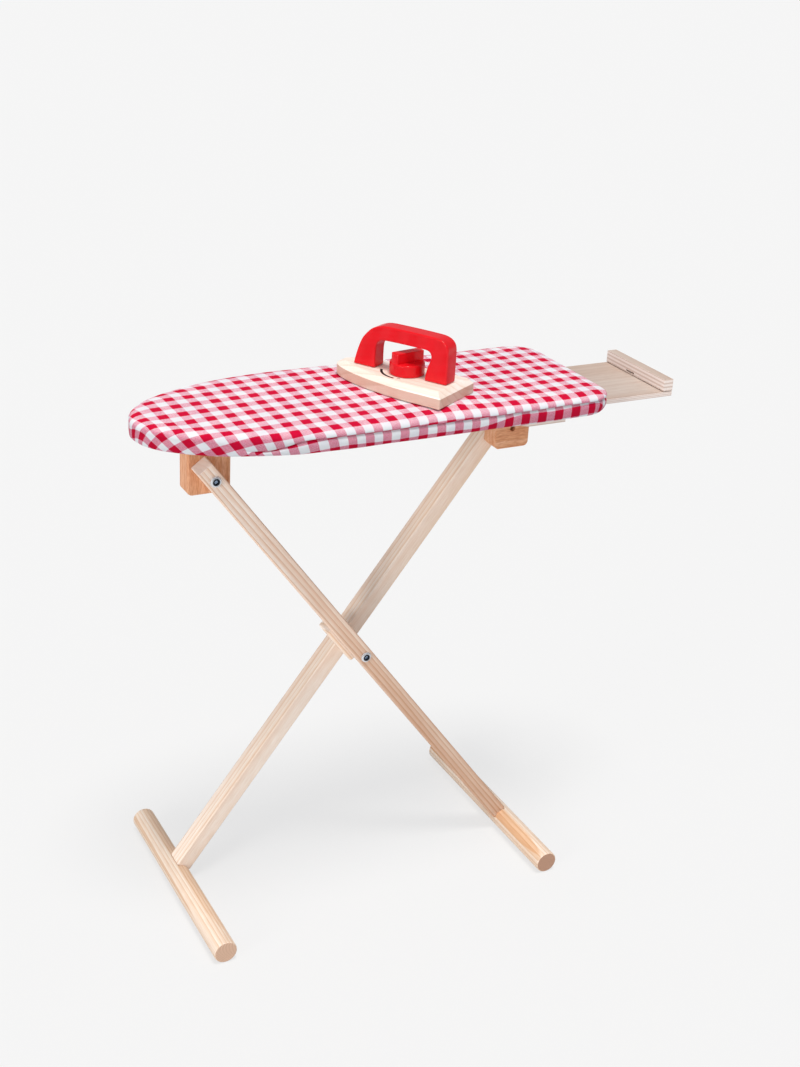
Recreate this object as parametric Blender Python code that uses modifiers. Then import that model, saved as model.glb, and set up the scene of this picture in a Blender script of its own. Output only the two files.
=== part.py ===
# Toy ironing board on a scissor frame, with an iron-rest tray and a toy iron.
# Metres, +Z up, +X from the rounded nose to the tray, -Y is the near side.
# Origin: bottom centre of the whole object, on the floor.
import math

import bmesh
import bpy
from mathutils import Vector

# Board
board_length = 0.4935
board_half_width = 0.0935
tail_half_width = 0.0920
board_aside = -0.0085
nose_length = 0.184
tail_corner_radius = 0.030
panel_thickness = 0.006
panel_inset = 0.004
fabric_thickness = 0.0012
cover_height = 0.0220
nose_point_share = 2.0

# Cover section, from hem to crown: inset from the outline and share of the height
cover_insets = (0.0022, 0.0000, 0.0004, 0.0026, 0.0075, 0.0200, 0.0450, 0.0740)
cover_height_shares = (0.0, 0.20, 0.50, 0.77, 0.905, 0.960, 0.987, 1.0)

# Frame
pivot_half_span = 0.173
upper_leg_length = 0.2866
tail_arm_extra = 0.0043
lower_leg_length = 0.3257
leg_width = 0.018
leg_thickness = 0.022
leg_top_length = 0.0175
leg_edge_round = 0.0012
pivot_below_panel = 0.0448
frame_from_board_middle = 0.0021

# Blocks between the legs
block_length = 0.042
block_depth = 0.024
nose_block_more = 0.003
nose_block_ahead = 0.0022
pivot_above_block_bottom = 0.022
tail_block_above_pivot = 0.0157
block_edge_round = 0.0025
spacer_length = 0.050
spacer_width = 0.022
spacer_below_pivot = 0.009
spacer_aside = -0.0035

# Bearer between the tail block and the tray, and the tray
bearer_length = 0.056
bearer_width = 0.062
bearer_after_block_start = 0.0060
bearer_corner_length = 0.009
bearer_corner_width = 0.010
tray_reach = 0.098
tray_width = 0.1095
tray_thickness = 0.0055
tray_before_block = 0.002
lip_thickness = 0.012
lip_height = 0.0133
lip_slit_length = 0.0155
lip_slit_height = 0.0012
lip_slit_depth = 0.003
lip_slit_aside = 0.0090
tray_edge_round = 0.0008

# Feet
foot_radius = 0.0126
foot_length = 0.263
foot_seat_depth = 0.0030
foot_end_round = 0.0015
foot_sides = 28

# Bolts and screws
bolt_radius = 0.0030
bolt_head_radius = 0.0058
bolt_head_height = 0.0024
bolt_socket_width = 0.0040
bolt_socket_depth = 0.0014
bore_play = 0.00025
insert_radius = 0.0046
insert_length = 0.012
nut_radius = 0.0055
nut_height = 0.0050
washer_radius = 0.0075
washer_thickness = 0.0012
screw_radius = 0.0018
screw_head_radius = 0.0038
screw_head_height = 0.0026
block_screw_grip = 0.016
block_screw_spacing = 0.022
tray_screw_grip = 0.0035
tray_screw_inset = 0.014
lip_screw_grip = 0.007
foot_screw_grip = 0.022
foot_screw_sink = 0.003

# Toy iron
iron_length = 0.143
iron_width = 0.067
iron_side_height = 0.0112
iron_slope_height = 0.0055
iron_slope_width = 0.0055
iron_foot_round = 0.0012
iron_nose_length = 0.108
iron_nose_point_share = 1.75
iron_from_board_middle_x = 0.0329
iron_from_board_middle_y = -0.0109
iron_heading = math.radians(120.6)
handle_length = 0.1105
handle_height = 0.0460
handle_thickness = 0.0180
handle_round = 0.0030
handle_behind_nose = 0.0245
dowel_radius = 0.0035
dowel_in_base = 0.007
dowel_in_handle = 0.010
dial_radius = 0.0180
dial_body_height = 0.0125
dial_round = 0.0012
dial_grip_height = 0.0105
dial_grip_width = 0.0105
dial_grip_length = 0.0330
dial_from_handle_nose = 0.0592
dial_rest_turn = math.radians(68)
dial_pin_radius = 0.0040
dial_pin_in_base = 0.008
dial_pin_in_dial = 0.0095

# Handle outline: shares of its length and of its height, round the arch
handle_outer_shares = ((1.0, 0.0), (1.0, 0.72), (0.985, 0.86), (0.94, 0.955), (0.86, 1.0),
                       (0.38, 1.0), (0.28, 0.977), (0.19, 0.89), (0.13, 0.76), (0.08, 0.6),
                       (0.035, 0.32), (0.0, 0.0))
handle_inner_shares = ((0.235, 0.0), (0.232, 0.28), (0.238, 0.50), (0.266, 0.630), (0.322, 0.668),
                       (0.755, 0.682), (0.80, 0.657), (0.822, 0.585), (0.818, 0.47), (0.795, 0.33),
                       (0.780, 0.18), (0.768, 0.0))

# Fits and drawing counts
fit_gap = 0.0003
cut_overrun = 0.004
small_sides = 16
round_sides = 48
nose_steps = 30
corner_steps = 6
weld_distance = 0.000001

# Places worked out from the sizes
lean = math.asin(pivot_half_span / upper_leg_length)
foot_half_span = lower_leg_length * math.sin(lean)
crossing_height = foot_radius + lower_leg_length * math.cos(lean)
pivot_height = crossing_height + upper_leg_length * math.cos(lean)
panel_bottom = pivot_height + pivot_below_panel
board_middle = -tray_reach / 2
nose_tip = board_middle - board_length / 2
tail_end = board_middle + board_length / 2
tray_end = tail_end + tray_reach
crossing_place = board_middle + frame_from_board_middle
nose_pivot = crossing_place - pivot_half_span
tail_arm = upper_leg_length + tail_arm_extra
tail_pivot = crossing_place + tail_arm * math.sin(lean)
tail_pivot_height = crossing_height + tail_arm * math.cos(lean)
leg_plane = block_depth / 2 + fit_gap + leg_thickness / 2
leg_outer_face = leg_plane + leg_thickness / 2
whole_leg = upper_leg_length + lower_leg_length
foot_seat = foot_radius - foot_seat_depth + fit_gap
cover_top = panel_bottom + cover_height
upright = (0, 0, 0)
across = (math.pi / 2, 0, 0)
across_back = (-math.pi / 2, 0, 0)
upside_down = (math.pi, 0, 0)

for old in list(bpy.data.objects):
    bpy.data.objects.remove(old, do_unlink=True)

parts = bpy.data.collections.new("toy_ironing_board")
cutters = bpy.data.collections.new("cutters")
bpy.context.scene.collection.children.link(parts)
bpy.context.scene.collection.children.link(cutters)


def material(name, colour, roughness, metallic=0.0):
    made = bpy.data.materials.new(name)
    made.use_nodes = True
    shader = made.node_tree.nodes["Principled BSDF"]
    shader.inputs["Base Color"].default_value = (*colour, 1)
    shader.inputs["Roughness"].default_value = roughness
    shader.inputs["Metallic"].default_value = metallic
    return made


def axis_point(name, place, parent=None, turn=upright):
    empty = bpy.data.objects.new(name, None)
    empty.location = place
    empty.rotation_euler = turn
    empty.parent = parent
    parts.objects.link(empty)
    return empty


def as_object(name, mesh, finish, parent, place, turn):
    made = bpy.data.objects.new(name, mesh)
    made.location = place
    made.rotation_euler = turn
    made.parent = parent
    if finish:
        mesh.materials.append(finish)
        parts.objects.link(made)
    else:
        made.hide_render = True
        made.display_type = "WIRE"
        cutters.objects.link(made)
    return made


def block(name, size, finish, parent=None, place=(0, 0, 0), turn=upright, off=(0, 0, 0)):
    shape = bmesh.new()
    bmesh.ops.create_cube(shape, size=1)
    for corner in shape.verts:
        corner.co = Vector([corner.co[i] * size[i] + off[i] for i in range(3)])
    mesh = bpy.data.meshes.new(name)
    shape.to_mesh(mesh)
    shape.free()
    return as_object(name, mesh, finish, parent, place, turn)


def rod(name, radius, length, finish, parent=None, place=(0, 0, 0), turn=upright, sides=small_sides):
    shape = bmesh.new()
    bmesh.ops.create_cone(shape, cap_ends=True, segments=sides, radius1=radius, radius2=radius,
                          depth=length)
    mesh = bpy.data.meshes.new(name)
    shape.to_mesh(mesh)
    shape.free()
    return as_object(name, mesh, finish, parent, place, turn)


def turned(name, profile, finish, parent=None, place=(0, 0, 0), turn=upright, sides=small_sides):
    mesh = bpy.data.meshes.new(name)
    mesh.from_pydata([(radius, 0, height) for radius, height in profile],
                     [(i, i + 1) for i in range(len(profile) - 1)], [])
    made = as_object(name, mesh, finish, parent, place, turn)
    spin = made.modifiers.new("turn", "SCREW")
    spin.steps = sides
    spin.render_steps = sides
    spin.use_merge_vertices = True
    spin.merge_threshold = weld_distance
    spin.use_smooth_shade = False
    return made


def flat_shape(name, points, thickness, finish, parent=None, place=(0, 0, 0), turn=upright):
    curve = bpy.data.curves.new(name + "_outline", "CURVE")
    curve.dimensions = "2D"
    curve.fill_mode = "BOTH"
    curve.extrude = thickness / 2
    line = curve.splines.new("POLY")
    line.points.add(len(points) - 1)
    for point, (x, y) in zip(line.points, points):
        point.co = (x, y, 0, 1)
    line.use_cyclic_u = True
    drawn = bpy.data.objects.new(name + "_outline", curve)
    parts.objects.link(drawn)
    bpy.context.view_layer.update()
    seen = drawn.evaluated_get(bpy.context.evaluated_depsgraph_get())
    mesh = bpy.data.meshes.new_from_object(seen)
    mesh.name = name
    bpy.data.objects.remove(drawn, do_unlink=True)
    bpy.data.curves.remove(curve)
    shape = bmesh.new()
    shape.from_mesh(mesh)
    bmesh.ops.remove_doubles(shape, verts=shape.verts, dist=weld_distance)
    bmesh.ops.recalc_face_normals(shape, faces=shape.faces)
    shape.to_mesh(mesh)
    shape.free()
    mesh.materials.clear()
    return as_object(name, mesh, finish, parent, place, turn)


def rounded(made, width, steps=2, angle=50):
    bevel = made.modifiers.new("edges", "BEVEL")
    bevel.width = width
    bevel.segments = steps
    bevel.limit_method = "ANGLE"
    bevel.angle_limit = math.radians(angle)
    return made


def cut(made, cutter, kind="DIFFERENCE"):
    step = made.modifiers.new("cut", "BOOLEAN")
    step.operation = kind
    step.object = cutter


def smooth(made):
    made.data.shade_smooth()
    made.data.set_sharp_from_angle(angle=math.radians(35))


def board_outline(inset):
    """Points round the board, each moved in by inset. The board sits a little towards the near side."""
    tip = nose_tip + inset
    tail = tail_end - inset
    wide = board_half_width - inset
    narrow = tail_half_width - inset
    reach = nose_length - inset
    corner = max(tail_corner_radius - inset, tail_corner_radius / 4)
    side = []
    for step in range(nose_steps):
        turn = math.pi / 2 * (step / nose_steps)
        side.append((tip + reach * (1 - math.cos(turn)),
                     wide * math.sin(turn) ** (2 / nose_point_share)))
    for step in range(4):
        along = step / 4
        start = tip + reach
        side.append((start + (tail - corner - start) * along, wide + (narrow - wide) * along))
    for step in range(corner_steps + 1):
        turn = math.pi / 2 * step / corner_steps
        side.append((tail - corner + corner * math.sin(turn),
                     narrow - corner + corner * math.cos(turn)))
    back = [(x, -y) for x, y in reversed(side[1:])]
    return [(x, y + board_aside) for x, y in side + back]


def ring_loft(name, outline, rings, finish, closed_bottom, parent=None):
    """Join outlines, each drawn at an inset and a height, and fill the top."""
    shape = bmesh.new()
    rows = [[shape.verts.new((x, y, height)) for x, y in outline(inset)]
            for inset, height in rings]
    count = len(rows[0])
    for low, high in zip(rows, rows[1:]):
        for i in range(count):
            j = (i + 1) % count
            shape.faces.new((low[j], low[i], high[i], high[j]))
    shape.faces.new(list(reversed(rows[-1])))
    if closed_bottom:
        shape.faces.new(rows[0])
    mesh = bpy.data.meshes.new(name)
    shape.to_mesh(mesh)
    shape.free()
    return as_object(name, mesh, finish, parent, (0, 0, 0), upright)


def foot_section(ground_turn):
    """Points round the foot, one of its sides facing the ground."""
    half = math.pi / foot_sides
    outer = foot_radius / math.cos(half)
    turns = [ground_turn + half + i * 2 * half for i in range(foot_sides)]
    return [(outer * math.cos(turn), outer * math.sin(turn)) for turn in turns]


def bolt_profile(length):
    rim = bolt_head_radius * 0.72
    return [(0, bolt_head_height), (rim, bolt_head_height),
            (bolt_head_radius, bolt_head_height / 2), (bolt_head_radius, 0),
            (bolt_radius, 0), (bolt_radius, -length), (0, -length)]


def bolt(name, length, parent, place, turn):
    made = turned(name, bolt_profile(length), steel, parent, place, turn, 24)
    corner = bolt_socket_width / 2 / math.cos(math.pi / 6)
    depth = bolt_socket_depth + cut_overrun
    reach = Vector((0, -1, 0)) if turn == across else Vector((0, 1, 0))
    middle = Vector(place) + reach * (bolt_head_height - bolt_socket_depth + depth / 2)
    socket = rod(name + "_socket", corner, depth, None, parent, middle, turn, 6)
    cut(made, socket)
    smooth(made)
    return made


def screw_profile(length):
    return [(0, 0), (screw_head_radius, 0), (screw_radius, -screw_head_height),
            (screw_radius, -length), (0, -length)]


def screw_hole_profile(length, over):
    wide = screw_head_radius + bore_play
    slim = screw_radius + bore_play
    return [(0, over), (wide, over), (wide, 0), (slim, -screw_head_height),
            (slim, -length - fit_gap), (0, -length - fit_gap)]


def screw(name, length, held, parent=None, place=(0, 0, 0), turn=upright, over=0.0):
    hole = turned(name + "_hole", screw_hole_profile(length, over + fit_gap), None, parent, place, turn)
    for piece in held:
        cut(piece, hole)
    made = turned(name, screw_profile(length), steel, parent, place, turn)
    smooth(made)
    return made


pine = material("pine", (0.72, 0.50, 0.33), 0.62)
pale_pine = material("pale_pine", (0.80, 0.62, 0.43), 0.62)
beech = material("beech", (0.62, 0.34, 0.17), 0.6)
birch_ply = material("birch_ply", (0.66, 0.56, 0.46), 0.65)
maple = material("maple", (0.86, 0.74, 0.58), 0.55)
red_paint = material("red_paint", (0.72, 0.006, 0.012), 0.25)
gingham = material("gingham", (0.72, 0.22, 0.28), 0.9)
foam = material("foam", (0.85, 0.83, 0.78), 0.95)
steel = material("steel", (0.62, 0.63, 0.65), 0.28, 1.0)

# Panel, pad and cover
panel_middle = (0, 0, panel_bottom + panel_thickness / 2)
panel = flat_shape("board_panel", board_outline(panel_inset), panel_thickness, birch_ply,
                   place=panel_middle)

cover_rings = [(inset, panel_bottom + cover_height * share)
               for inset, share in zip(cover_insets, cover_height_shares)]
cover = ring_loft("board_cover", board_outline, cover_rings, gingham, False)
skin = cover.modifiers.new("fabric", "SOLIDIFY")
skin.thickness = fabric_thickness
skin.offset = -1
skin.use_even_offset = True
smooth(cover)

pad_floor = panel_bottom + panel_thickness + fit_gap
under_skin = fabric_thickness + fit_gap
pad_rings = [(panel_inset, pad_floor)]
for inset, height in cover_rings[2:]:
    slope_room = under_skin * 1.15
    pad_rings.append((inset + slope_room, height - slope_room))
pad = ring_loft("board_pad", board_outline, pad_rings, foam, True)
smooth(pad)

# Blocks, bearer and tray
tray_top = panel_bottom - fit_gap
tray_bottom = tray_top - tray_thickness
tray_start = tail_pivot - block_length / 2 - tray_before_block
tray_span = tray_end - tray_start
tray = block("tray_plate", (tray_span, tray_width, tray_thickness), birch_ply,
             place=(tray_start + tray_span / 2, board_aside, tray_top - tray_thickness / 2))
rounded(tray, tray_edge_round, 1)

lip_middle = tray_end - lip_thickness / 2
lip = block("tray_lip", (lip_thickness, tray_width, lip_height), birch_ply,
            place=(lip_middle, board_aside, tray_top + fit_gap + lip_height / 2))
rounded(lip, tray_edge_round, 1)
slit = block("lip_slit", (lip_slit_depth * 2, lip_slit_length, lip_slit_height), None,
             place=(lip_middle - lip_thickness / 2, board_aside + lip_slit_aside,
                    tray_top + fit_gap + tray_edge_round + lip_slit_height))
cut(lip, slit)

nose_block_bottom = pivot_height - pivot_above_block_bottom
nose_block_height = panel_bottom - fit_gap - nose_block_bottom
nose_block = block("nose_block", (block_length + nose_block_more, block_depth, nose_block_height), beech,
                   place=(nose_pivot + nose_block_ahead, 0, nose_block_bottom + nose_block_height / 2))
rounded(nose_block, block_edge_round)

tail_block_top = tail_pivot_height + tail_block_above_pivot
tail_block_bottom = tail_pivot_height - pivot_above_block_bottom
tail_block_height = tail_block_top - tail_block_bottom
tail_block = block("tail_block", (block_length, block_depth, tail_block_height), beech,
                   place=(tail_pivot, 0, tail_block_bottom + tail_block_height / 2))
rounded(tail_block, block_edge_round)

bearer_bottom = tail_block_top + fit_gap
bearer_height = tray_bottom - fit_gap - bearer_bottom
bearer_start = tail_pivot - block_length / 2 + bearer_after_block_start
bearer_end = bearer_start + bearer_length
bearer_far = block_depth / 2
bearer_near = bearer_far - bearer_width
bearer_points = [(bearer_start, bearer_far), (bearer_start, bearer_near + bearer_corner_width),
                 (bearer_start + bearer_corner_length, bearer_near), (bearer_end, bearer_near),
                 (bearer_end, bearer_far)]
bearer = flat_shape("tail_bearer", bearer_points, bearer_height, birch_ply,
                    place=(0, 0, bearer_bottom + bearer_height / 2))
rounded(bearer, tray_edge_round, 1)

# Legs: each frame has its Z along the leg, and its origin on the hinge line
leg_a_axis = axis_point("leg_a_axis", (nose_pivot, 0, pivot_height), None, (0, -lean, 0))
leg_b_axis = axis_point("leg_b_axis", (0, 0, -upper_leg_length), leg_a_axis, (0, 2 * lean, 0))

leg_size = (leg_width, leg_thickness, whole_leg - foot_seat + leg_top_length)
leg_a_rise = leg_top_length - leg_size[2] / 2
leg_a = block("leg_a", leg_size, pine, leg_a_axis, off=(0, -leg_plane, leg_a_rise))
rounded(leg_a, leg_edge_round, 1)
leg_b_rise = upper_leg_length + leg_top_length - leg_size[2] / 2
leg_b = block("leg_b", leg_size, pine, leg_b_axis, off=(0, leg_plane, leg_b_rise))
rounded(leg_b, leg_edge_round, 1)

spacer_rise = spacer_length / 2 - spacer_below_pivot - upper_leg_length
spacer = block("centre_spacer", (spacer_width, block_depth, spacer_length), pine, leg_a_axis,
               off=(spacer_aside, 0, spacer_rise))
rounded(spacer, block_edge_round)

# Feet, each with a flat-bottomed seat for its leg's end
foot_a = flat_shape("foot_a", foot_section(-math.pi / 2 - lean), foot_length, pale_pine,
                    leg_a_axis, (0, 0, -whole_leg), across)
foot_b = flat_shape("foot_b", foot_section(-math.pi / 2 + lean), foot_length, pale_pine,
                    leg_b_axis, (0, 0, -lower_leg_length), across)
seat_size = (foot_radius * 3, leg_thickness + 2 * fit_gap, foot_radius)
seat_rise = foot_radius - foot_seat_depth + seat_size[2] / 2
for foot, frame, side, down in ((foot_a, leg_a_axis, -1, whole_leg),
                                (foot_b, leg_b_axis, 1, lower_leg_length)):
    rounded(foot, foot_end_round, 1, 60)
    seat = block(foot.name + "_seat", seat_size, None, frame,
                 off=(0, side * leg_plane, seat_rise - down))
    cut(foot, seat)
    smooth(foot)

foot_screw_length = foot_radius - foot_screw_sink + foot_seat + foot_screw_grip
screw("foot_a_screw", foot_screw_length, (foot_a, leg_a), leg_a_axis,
      (0, -leg_plane, -whole_leg - foot_radius + foot_screw_sink), upside_down, foot_screw_sink)
screw("foot_b_screw", foot_screw_length, (foot_b, leg_b), leg_b_axis,
      (0, leg_plane, -lower_leg_length - foot_radius + foot_screw_sink), upside_down, foot_screw_sink)

# Pivot bolts, their inserts, washer and nut
bore = bolt_radius + bore_play
stack = block_depth + 2 * (leg_thickness + fit_gap)
head_seat = leg_outer_face + fit_gap

nose_hole = rod("nose_hole", bore, leg_thickness + 2 * cut_overrun, None, leg_a_axis,
                (0, -leg_plane, 0), across)
cut(leg_a, nose_hole)
insert_hole_radius = insert_radius + bore_play
insert_seat = block_depth / 2
nose_insert_hole = rod("nose_insert_hole", insert_hole_radius, insert_length + cut_overrun, None, None,
                       (nose_pivot, -insert_seat + (insert_length - cut_overrun) / 2, pivot_height),
                       across, 24)
cut(nose_block, nose_insert_hole)
tail_hole = rod("tail_hole", bore, block_depth + 2 * cut_overrun, None, None,
                (tail_pivot, 0, tail_pivot_height), across)
cut(tail_block, tail_hole)
tail_insert_hole = rod("tail_insert_hole", insert_hole_radius, insert_length + cut_overrun, None, None,
                       (tail_pivot, insert_seat - (insert_length - cut_overrun) / 2, tail_pivot_height),
                       across, 24)
cut(tail_block, tail_insert_hole)

insert_body = insert_length - 2 * fit_gap
insert_outline = [(bore, insert_body / 2), (insert_radius, insert_body / 2),
                  (insert_radius, -insert_body / 2), (bore, -insert_body / 2), (bore, insert_body / 2)]
for name, place in (("nose_insert", (nose_pivot, -insert_seat + insert_length / 2, pivot_height)),
                    ("tail_insert", (tail_pivot, insert_seat - insert_length / 2, tail_pivot_height))):
    smooth(turned(name, insert_outline, steel, None, place, across, 24))

bolt("nose_bolt", head_seat - insert_seat + insert_length - fit_gap, None,
     (nose_pivot, -head_seat, pivot_height), across)

centre_hole = rod("centre_hole", bore, stack + 2 * cut_overrun, None, leg_a_axis,
                  (0, 0, -upper_leg_length), across)
for piece in (leg_a, spacer, leg_b):
    cut(piece, centre_hole)
nut_seat = head_seat + washer_thickness + fit_gap
bolt("centre_bolt", head_seat + nut_seat + nut_height / 2, leg_a_axis,
     (0, -head_seat, -upper_leg_length), across)
washer_outline = [(bore, washer_thickness), (washer_radius, washer_thickness), (washer_radius, 0),
                  (bore, 0), (bore, washer_thickness)]
smooth(turned("centre_washer", washer_outline, steel, leg_a_axis,
              (0, head_seat, -upper_leg_length), across_back, 24))
nut_bore = bore / math.cos(math.pi / 6)
nut_outline = [(nut_bore, nut_height), (nut_radius, nut_height), (nut_radius, 0), (nut_bore, 0),
               (nut_bore, nut_height)]
turned("centre_nut", nut_outline, steel, leg_a_axis, (0, nut_seat, -upper_leg_length),
       across_back, 6)

tail_bolt_hole = rod("tail_bolt_hole", bore, leg_thickness + 2 * cut_overrun, None, leg_b_axis,
                     (0, leg_plane, tail_arm), across)
cut(leg_b, tail_bolt_hole)
bolt("tail_bolt", leg_thickness + fit_gap, leg_b_axis, (0, head_seat, tail_arm), across_back)

# Screws that hold the blocks, the tray and the lip
panel_top = panel_bottom + panel_thickness
screw_aside = tray_width / 2 - tray_screw_inset
nose_screw_length = panel_thickness + fit_gap + block_screw_grip
tail_screw_length = panel_top - tail_block_top + block_screw_grip / 2
for count, side in ((1, -1), (2, 1)):
    aside = side * block_screw_spacing / 2
    screw("nose_block_screw_%d" % count, nose_screw_length, (panel, nose_block), None,
          (nose_pivot + aside, 0, panel_top), upright, cut_overrun)
    screw("tail_block_screw_%d" % count, tail_screw_length, (panel, tray, bearer, tail_block), None,
          (tail_pivot + aside, 0, panel_top), upright, cut_overrun)
    screw("lip_screw_%d" % count, tray_thickness + fit_gap + lip_screw_grip, (tray, lip), None,
          (lip_middle, board_aside + side * screw_aside, tray_bottom), upside_down, cut_overrun)
tray_screw_length = tray_thickness + fit_gap + tray_screw_grip
tray_screw_places = [(tray_start + tray_screw_inset, -1), (tray_start + tray_screw_inset, 1),
                     (tail_end - tail_corner_radius, -1), (tail_end - tail_corner_radius, 1)]
for count, (along, side) in enumerate(tray_screw_places, 1):
    screw("tray_screw_%d" % count, tray_screw_length, (tray, panel), None,
          (along, board_aside + side * screw_aside, tray_bottom), upside_down, cut_overrun)

# Toy iron: its frame has +X towards its nose, and its origin under its middle
iron = axis_point("iron_place", (board_middle + iron_from_board_middle_x, iron_from_board_middle_y,
                                 cover_top + fit_gap), None, (0, 0, iron_heading))


def iron_outline(inset):
    """Points round the base, each moved in by inset, from the heel's corner round the nose."""
    half = iron_width / 2 - inset
    heel = inset - iron_length / 2
    shoulder = iron_length / 2 - iron_nose_length
    reach = iron_nose_length - inset * iron_nose_point_share
    side = [(heel, -half)]
    for step in range(nose_steps):
        turn = math.pi / 2 * step / nose_steps
        side.append((shoulder + reach * math.sin(turn) ** (2 / iron_nose_point_share),
                     -half * math.cos(turn) ** (2 / iron_nose_point_share)))
    return side + [(shoulder + reach, 0)] + [(x, -y) for x, y in reversed(side)]


iron_base_height = iron_side_height + iron_slope_height
iron_rings = [(iron_foot_round, 0), (0, iron_foot_round), (0, iron_side_height),
              (iron_slope_width, iron_base_height)]
iron_base = ring_loft("iron_base", iron_outline, iron_rings, maple, True, iron)
smooth(iron_base)

handle_nose = iron_length / 2 - handle_behind_nose
handle_foot = iron_base_height + fit_gap
handle_points = [(handle_nose - along * handle_length, up * handle_height)
                 for along, up in handle_outer_shares + handle_inner_shares]
handle = flat_shape("iron_handle", handle_points, handle_thickness, red_paint, iron,
                    (0, 0, handle_foot), across)
rounded(handle, handle_round, 2, 70)
smooth(handle)

dowel_length = dowel_in_base + dowel_in_handle + fit_gap
dowel_places = (("nose", handle_inner_shares[0][0] / 2),
                ("heel", (handle_inner_shares[-1][0] + 1) / 2))
for name, share in dowel_places:
    place = (handle_nose - share * handle_length, 0, handle_foot - dowel_in_base + dowel_length / 2)
    hole = rod("handle_hole_" + name, dowel_radius + bore_play, dowel_length + 2 * fit_gap, None, iron,
               place)
    cut(iron_base, hole)
    cut(handle, hole)
    smooth(rod("handle_dowel_" + name, dowel_radius, dowel_length, maple, iron, place))

dial_axis = axis_point("dial_axis", (handle_nose - dial_from_handle_nose, 0, handle_foot), iron,
                       (0, 0, dial_rest_turn))
dial_profile = [(0, dial_body_height), (dial_radius - dial_round, dial_body_height),
                (dial_radius, dial_body_height - dial_round), (dial_radius, 0), (0, 0)]
dial = turned("iron_dial", dial_profile, red_paint, dial_axis, sides=round_sides)
grip = block("dial_grip", (dial_grip_length, dial_grip_width, dial_grip_height + dial_body_height / 2),
             None, dial_axis, (0, 0, dial_body_height + dial_grip_height / 2 - dial_body_height / 4))
rounded(grip, handle_round, 2)
cut(dial, grip, "UNION")
pin_length = dial_pin_in_base + dial_pin_in_dial
pin_place = (handle_nose - dial_from_handle_nose, 0, handle_foot + (dial_pin_in_dial - dial_pin_in_base) / 2)
pin_hole = rod("dial_pin_hole", dial_pin_radius + bore_play, pin_length + 2 * fit_gap, None, iron,
               pin_place)
cut(dial, pin_hole)
cut(iron_base, pin_hole)
smooth(rod("dial_pin", dial_pin_radius, pin_length, maple, iron, pin_place))
smooth(dial)
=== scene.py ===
import math

import bmesh
import bpy
from mathutils import Matrix, Vector, noise


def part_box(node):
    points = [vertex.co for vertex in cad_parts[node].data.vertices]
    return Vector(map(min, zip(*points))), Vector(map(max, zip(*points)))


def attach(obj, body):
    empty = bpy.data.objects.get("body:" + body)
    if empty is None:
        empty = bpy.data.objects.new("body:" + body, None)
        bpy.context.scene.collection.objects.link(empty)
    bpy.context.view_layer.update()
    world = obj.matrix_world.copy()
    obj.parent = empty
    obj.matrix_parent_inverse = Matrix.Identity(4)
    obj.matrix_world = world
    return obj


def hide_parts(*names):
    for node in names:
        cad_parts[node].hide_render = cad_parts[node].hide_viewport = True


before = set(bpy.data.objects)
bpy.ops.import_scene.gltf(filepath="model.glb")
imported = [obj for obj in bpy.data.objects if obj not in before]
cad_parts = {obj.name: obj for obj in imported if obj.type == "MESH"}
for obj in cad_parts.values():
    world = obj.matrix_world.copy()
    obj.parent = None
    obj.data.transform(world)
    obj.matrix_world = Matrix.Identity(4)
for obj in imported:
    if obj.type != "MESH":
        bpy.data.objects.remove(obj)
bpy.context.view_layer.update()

scene = bpy.context.scene
print("packed toy ironing board loaded,", len(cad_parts), "nodes")

# Places and sizes that several pieces share, in metres
boardFrame = {
    "panelBottom": 0.54557,
    "nosePivot": (-0.2199, 0.0, 0.50077),
    "crossing": (-0.0469, 0.0, 0.27227),
    "aside": -0.0085,
    "upperLeg": 0.2866,
    "tailArm": 0.2909,
    "lowerLeg": 0.3257,
    "pivotHalfSpan": 0.173,
    "fitGap": 0.0003,
}
lean = math.asin(boardFrame["pivotHalfSpan"] / boardFrame["upperLeg"])
wholeLeg = boardFrame["upperLeg"] + boardFrame["lowerLeg"]


# Helpers
def linearColour(hexColour):
    channels = [int(hexColour[i:i + 2], 16) / 255 for i in (0, 2, 4)]
    return [c / 12.92 if c <= 0.04045 else ((c + 0.055) / 1.055) ** 2.4 for c in channels] + [1.0]


def addNode(tree, kind, links=None, **settings):
    node = tree.nodes.new(kind)
    for name, value in settings.items():
        setattr(node, name, value)
    for socket, source in (links or {}).items():
        if isinstance(source, bpy.types.NodeSocket):
            tree.links.new(source, node.inputs[socket])
        else:
            node.inputs[socket].default_value = source
    return node


def colourRamp(tree, source, stops, interpolation="LINEAR"):
    ramp = addNode(tree, "ShaderNodeValToRGB", {"Fac": source})
    ramp.color_ramp.interpolation = interpolation
    points = ramp.color_ramp.elements
    while len(points) < len(stops):
        points.new(0.5)
    for point, (place, hexColour) in zip(points, stops):
        point.position = place
        point.color = linearColour(hexColour)
    return ramp.outputs["Color"]


def newSurface(name, roughness, **constants):
    made = bpy.data.materials.new(name)
    made.use_nodes = True
    tree = made.node_tree
    shader = tree.nodes["Principled BSDF"]
    shader.inputs["Roughness"].default_value = roughness
    for socket, value in constants.items():
        shader.inputs[socket.replace("_", " ")].default_value = value
    return made, tree, shader


def mixColours(tree, share, first, second, blend="MIX"):
    mix = addNode(tree, "ShaderNodeMix", data_type="RGBA", blend_type=blend)
    for index, source in ((0, share), (6, first), (7, second)):
        if isinstance(source, bpy.types.NodeSocket):
            tree.links.new(source, mix.inputs[index])
        elif isinstance(source, str):
            mix.inputs[index].default_value = linearColour(source)
        else:
            mix.inputs[index].default_value = source
    return mix.outputs[2]


def calculate(tree, operation, *values):
    links = {index: value for index, value in enumerate(values)}
    return addNode(tree, "ShaderNodeMath", links, operation=operation).outputs[0]


def only(*pieces):
    bpy.ops.object.select_all(action="DESELECT")
    for piece in pieces:
        piece.select_set(True)
    bpy.context.view_layer.objects.active = pieces[0]


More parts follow.
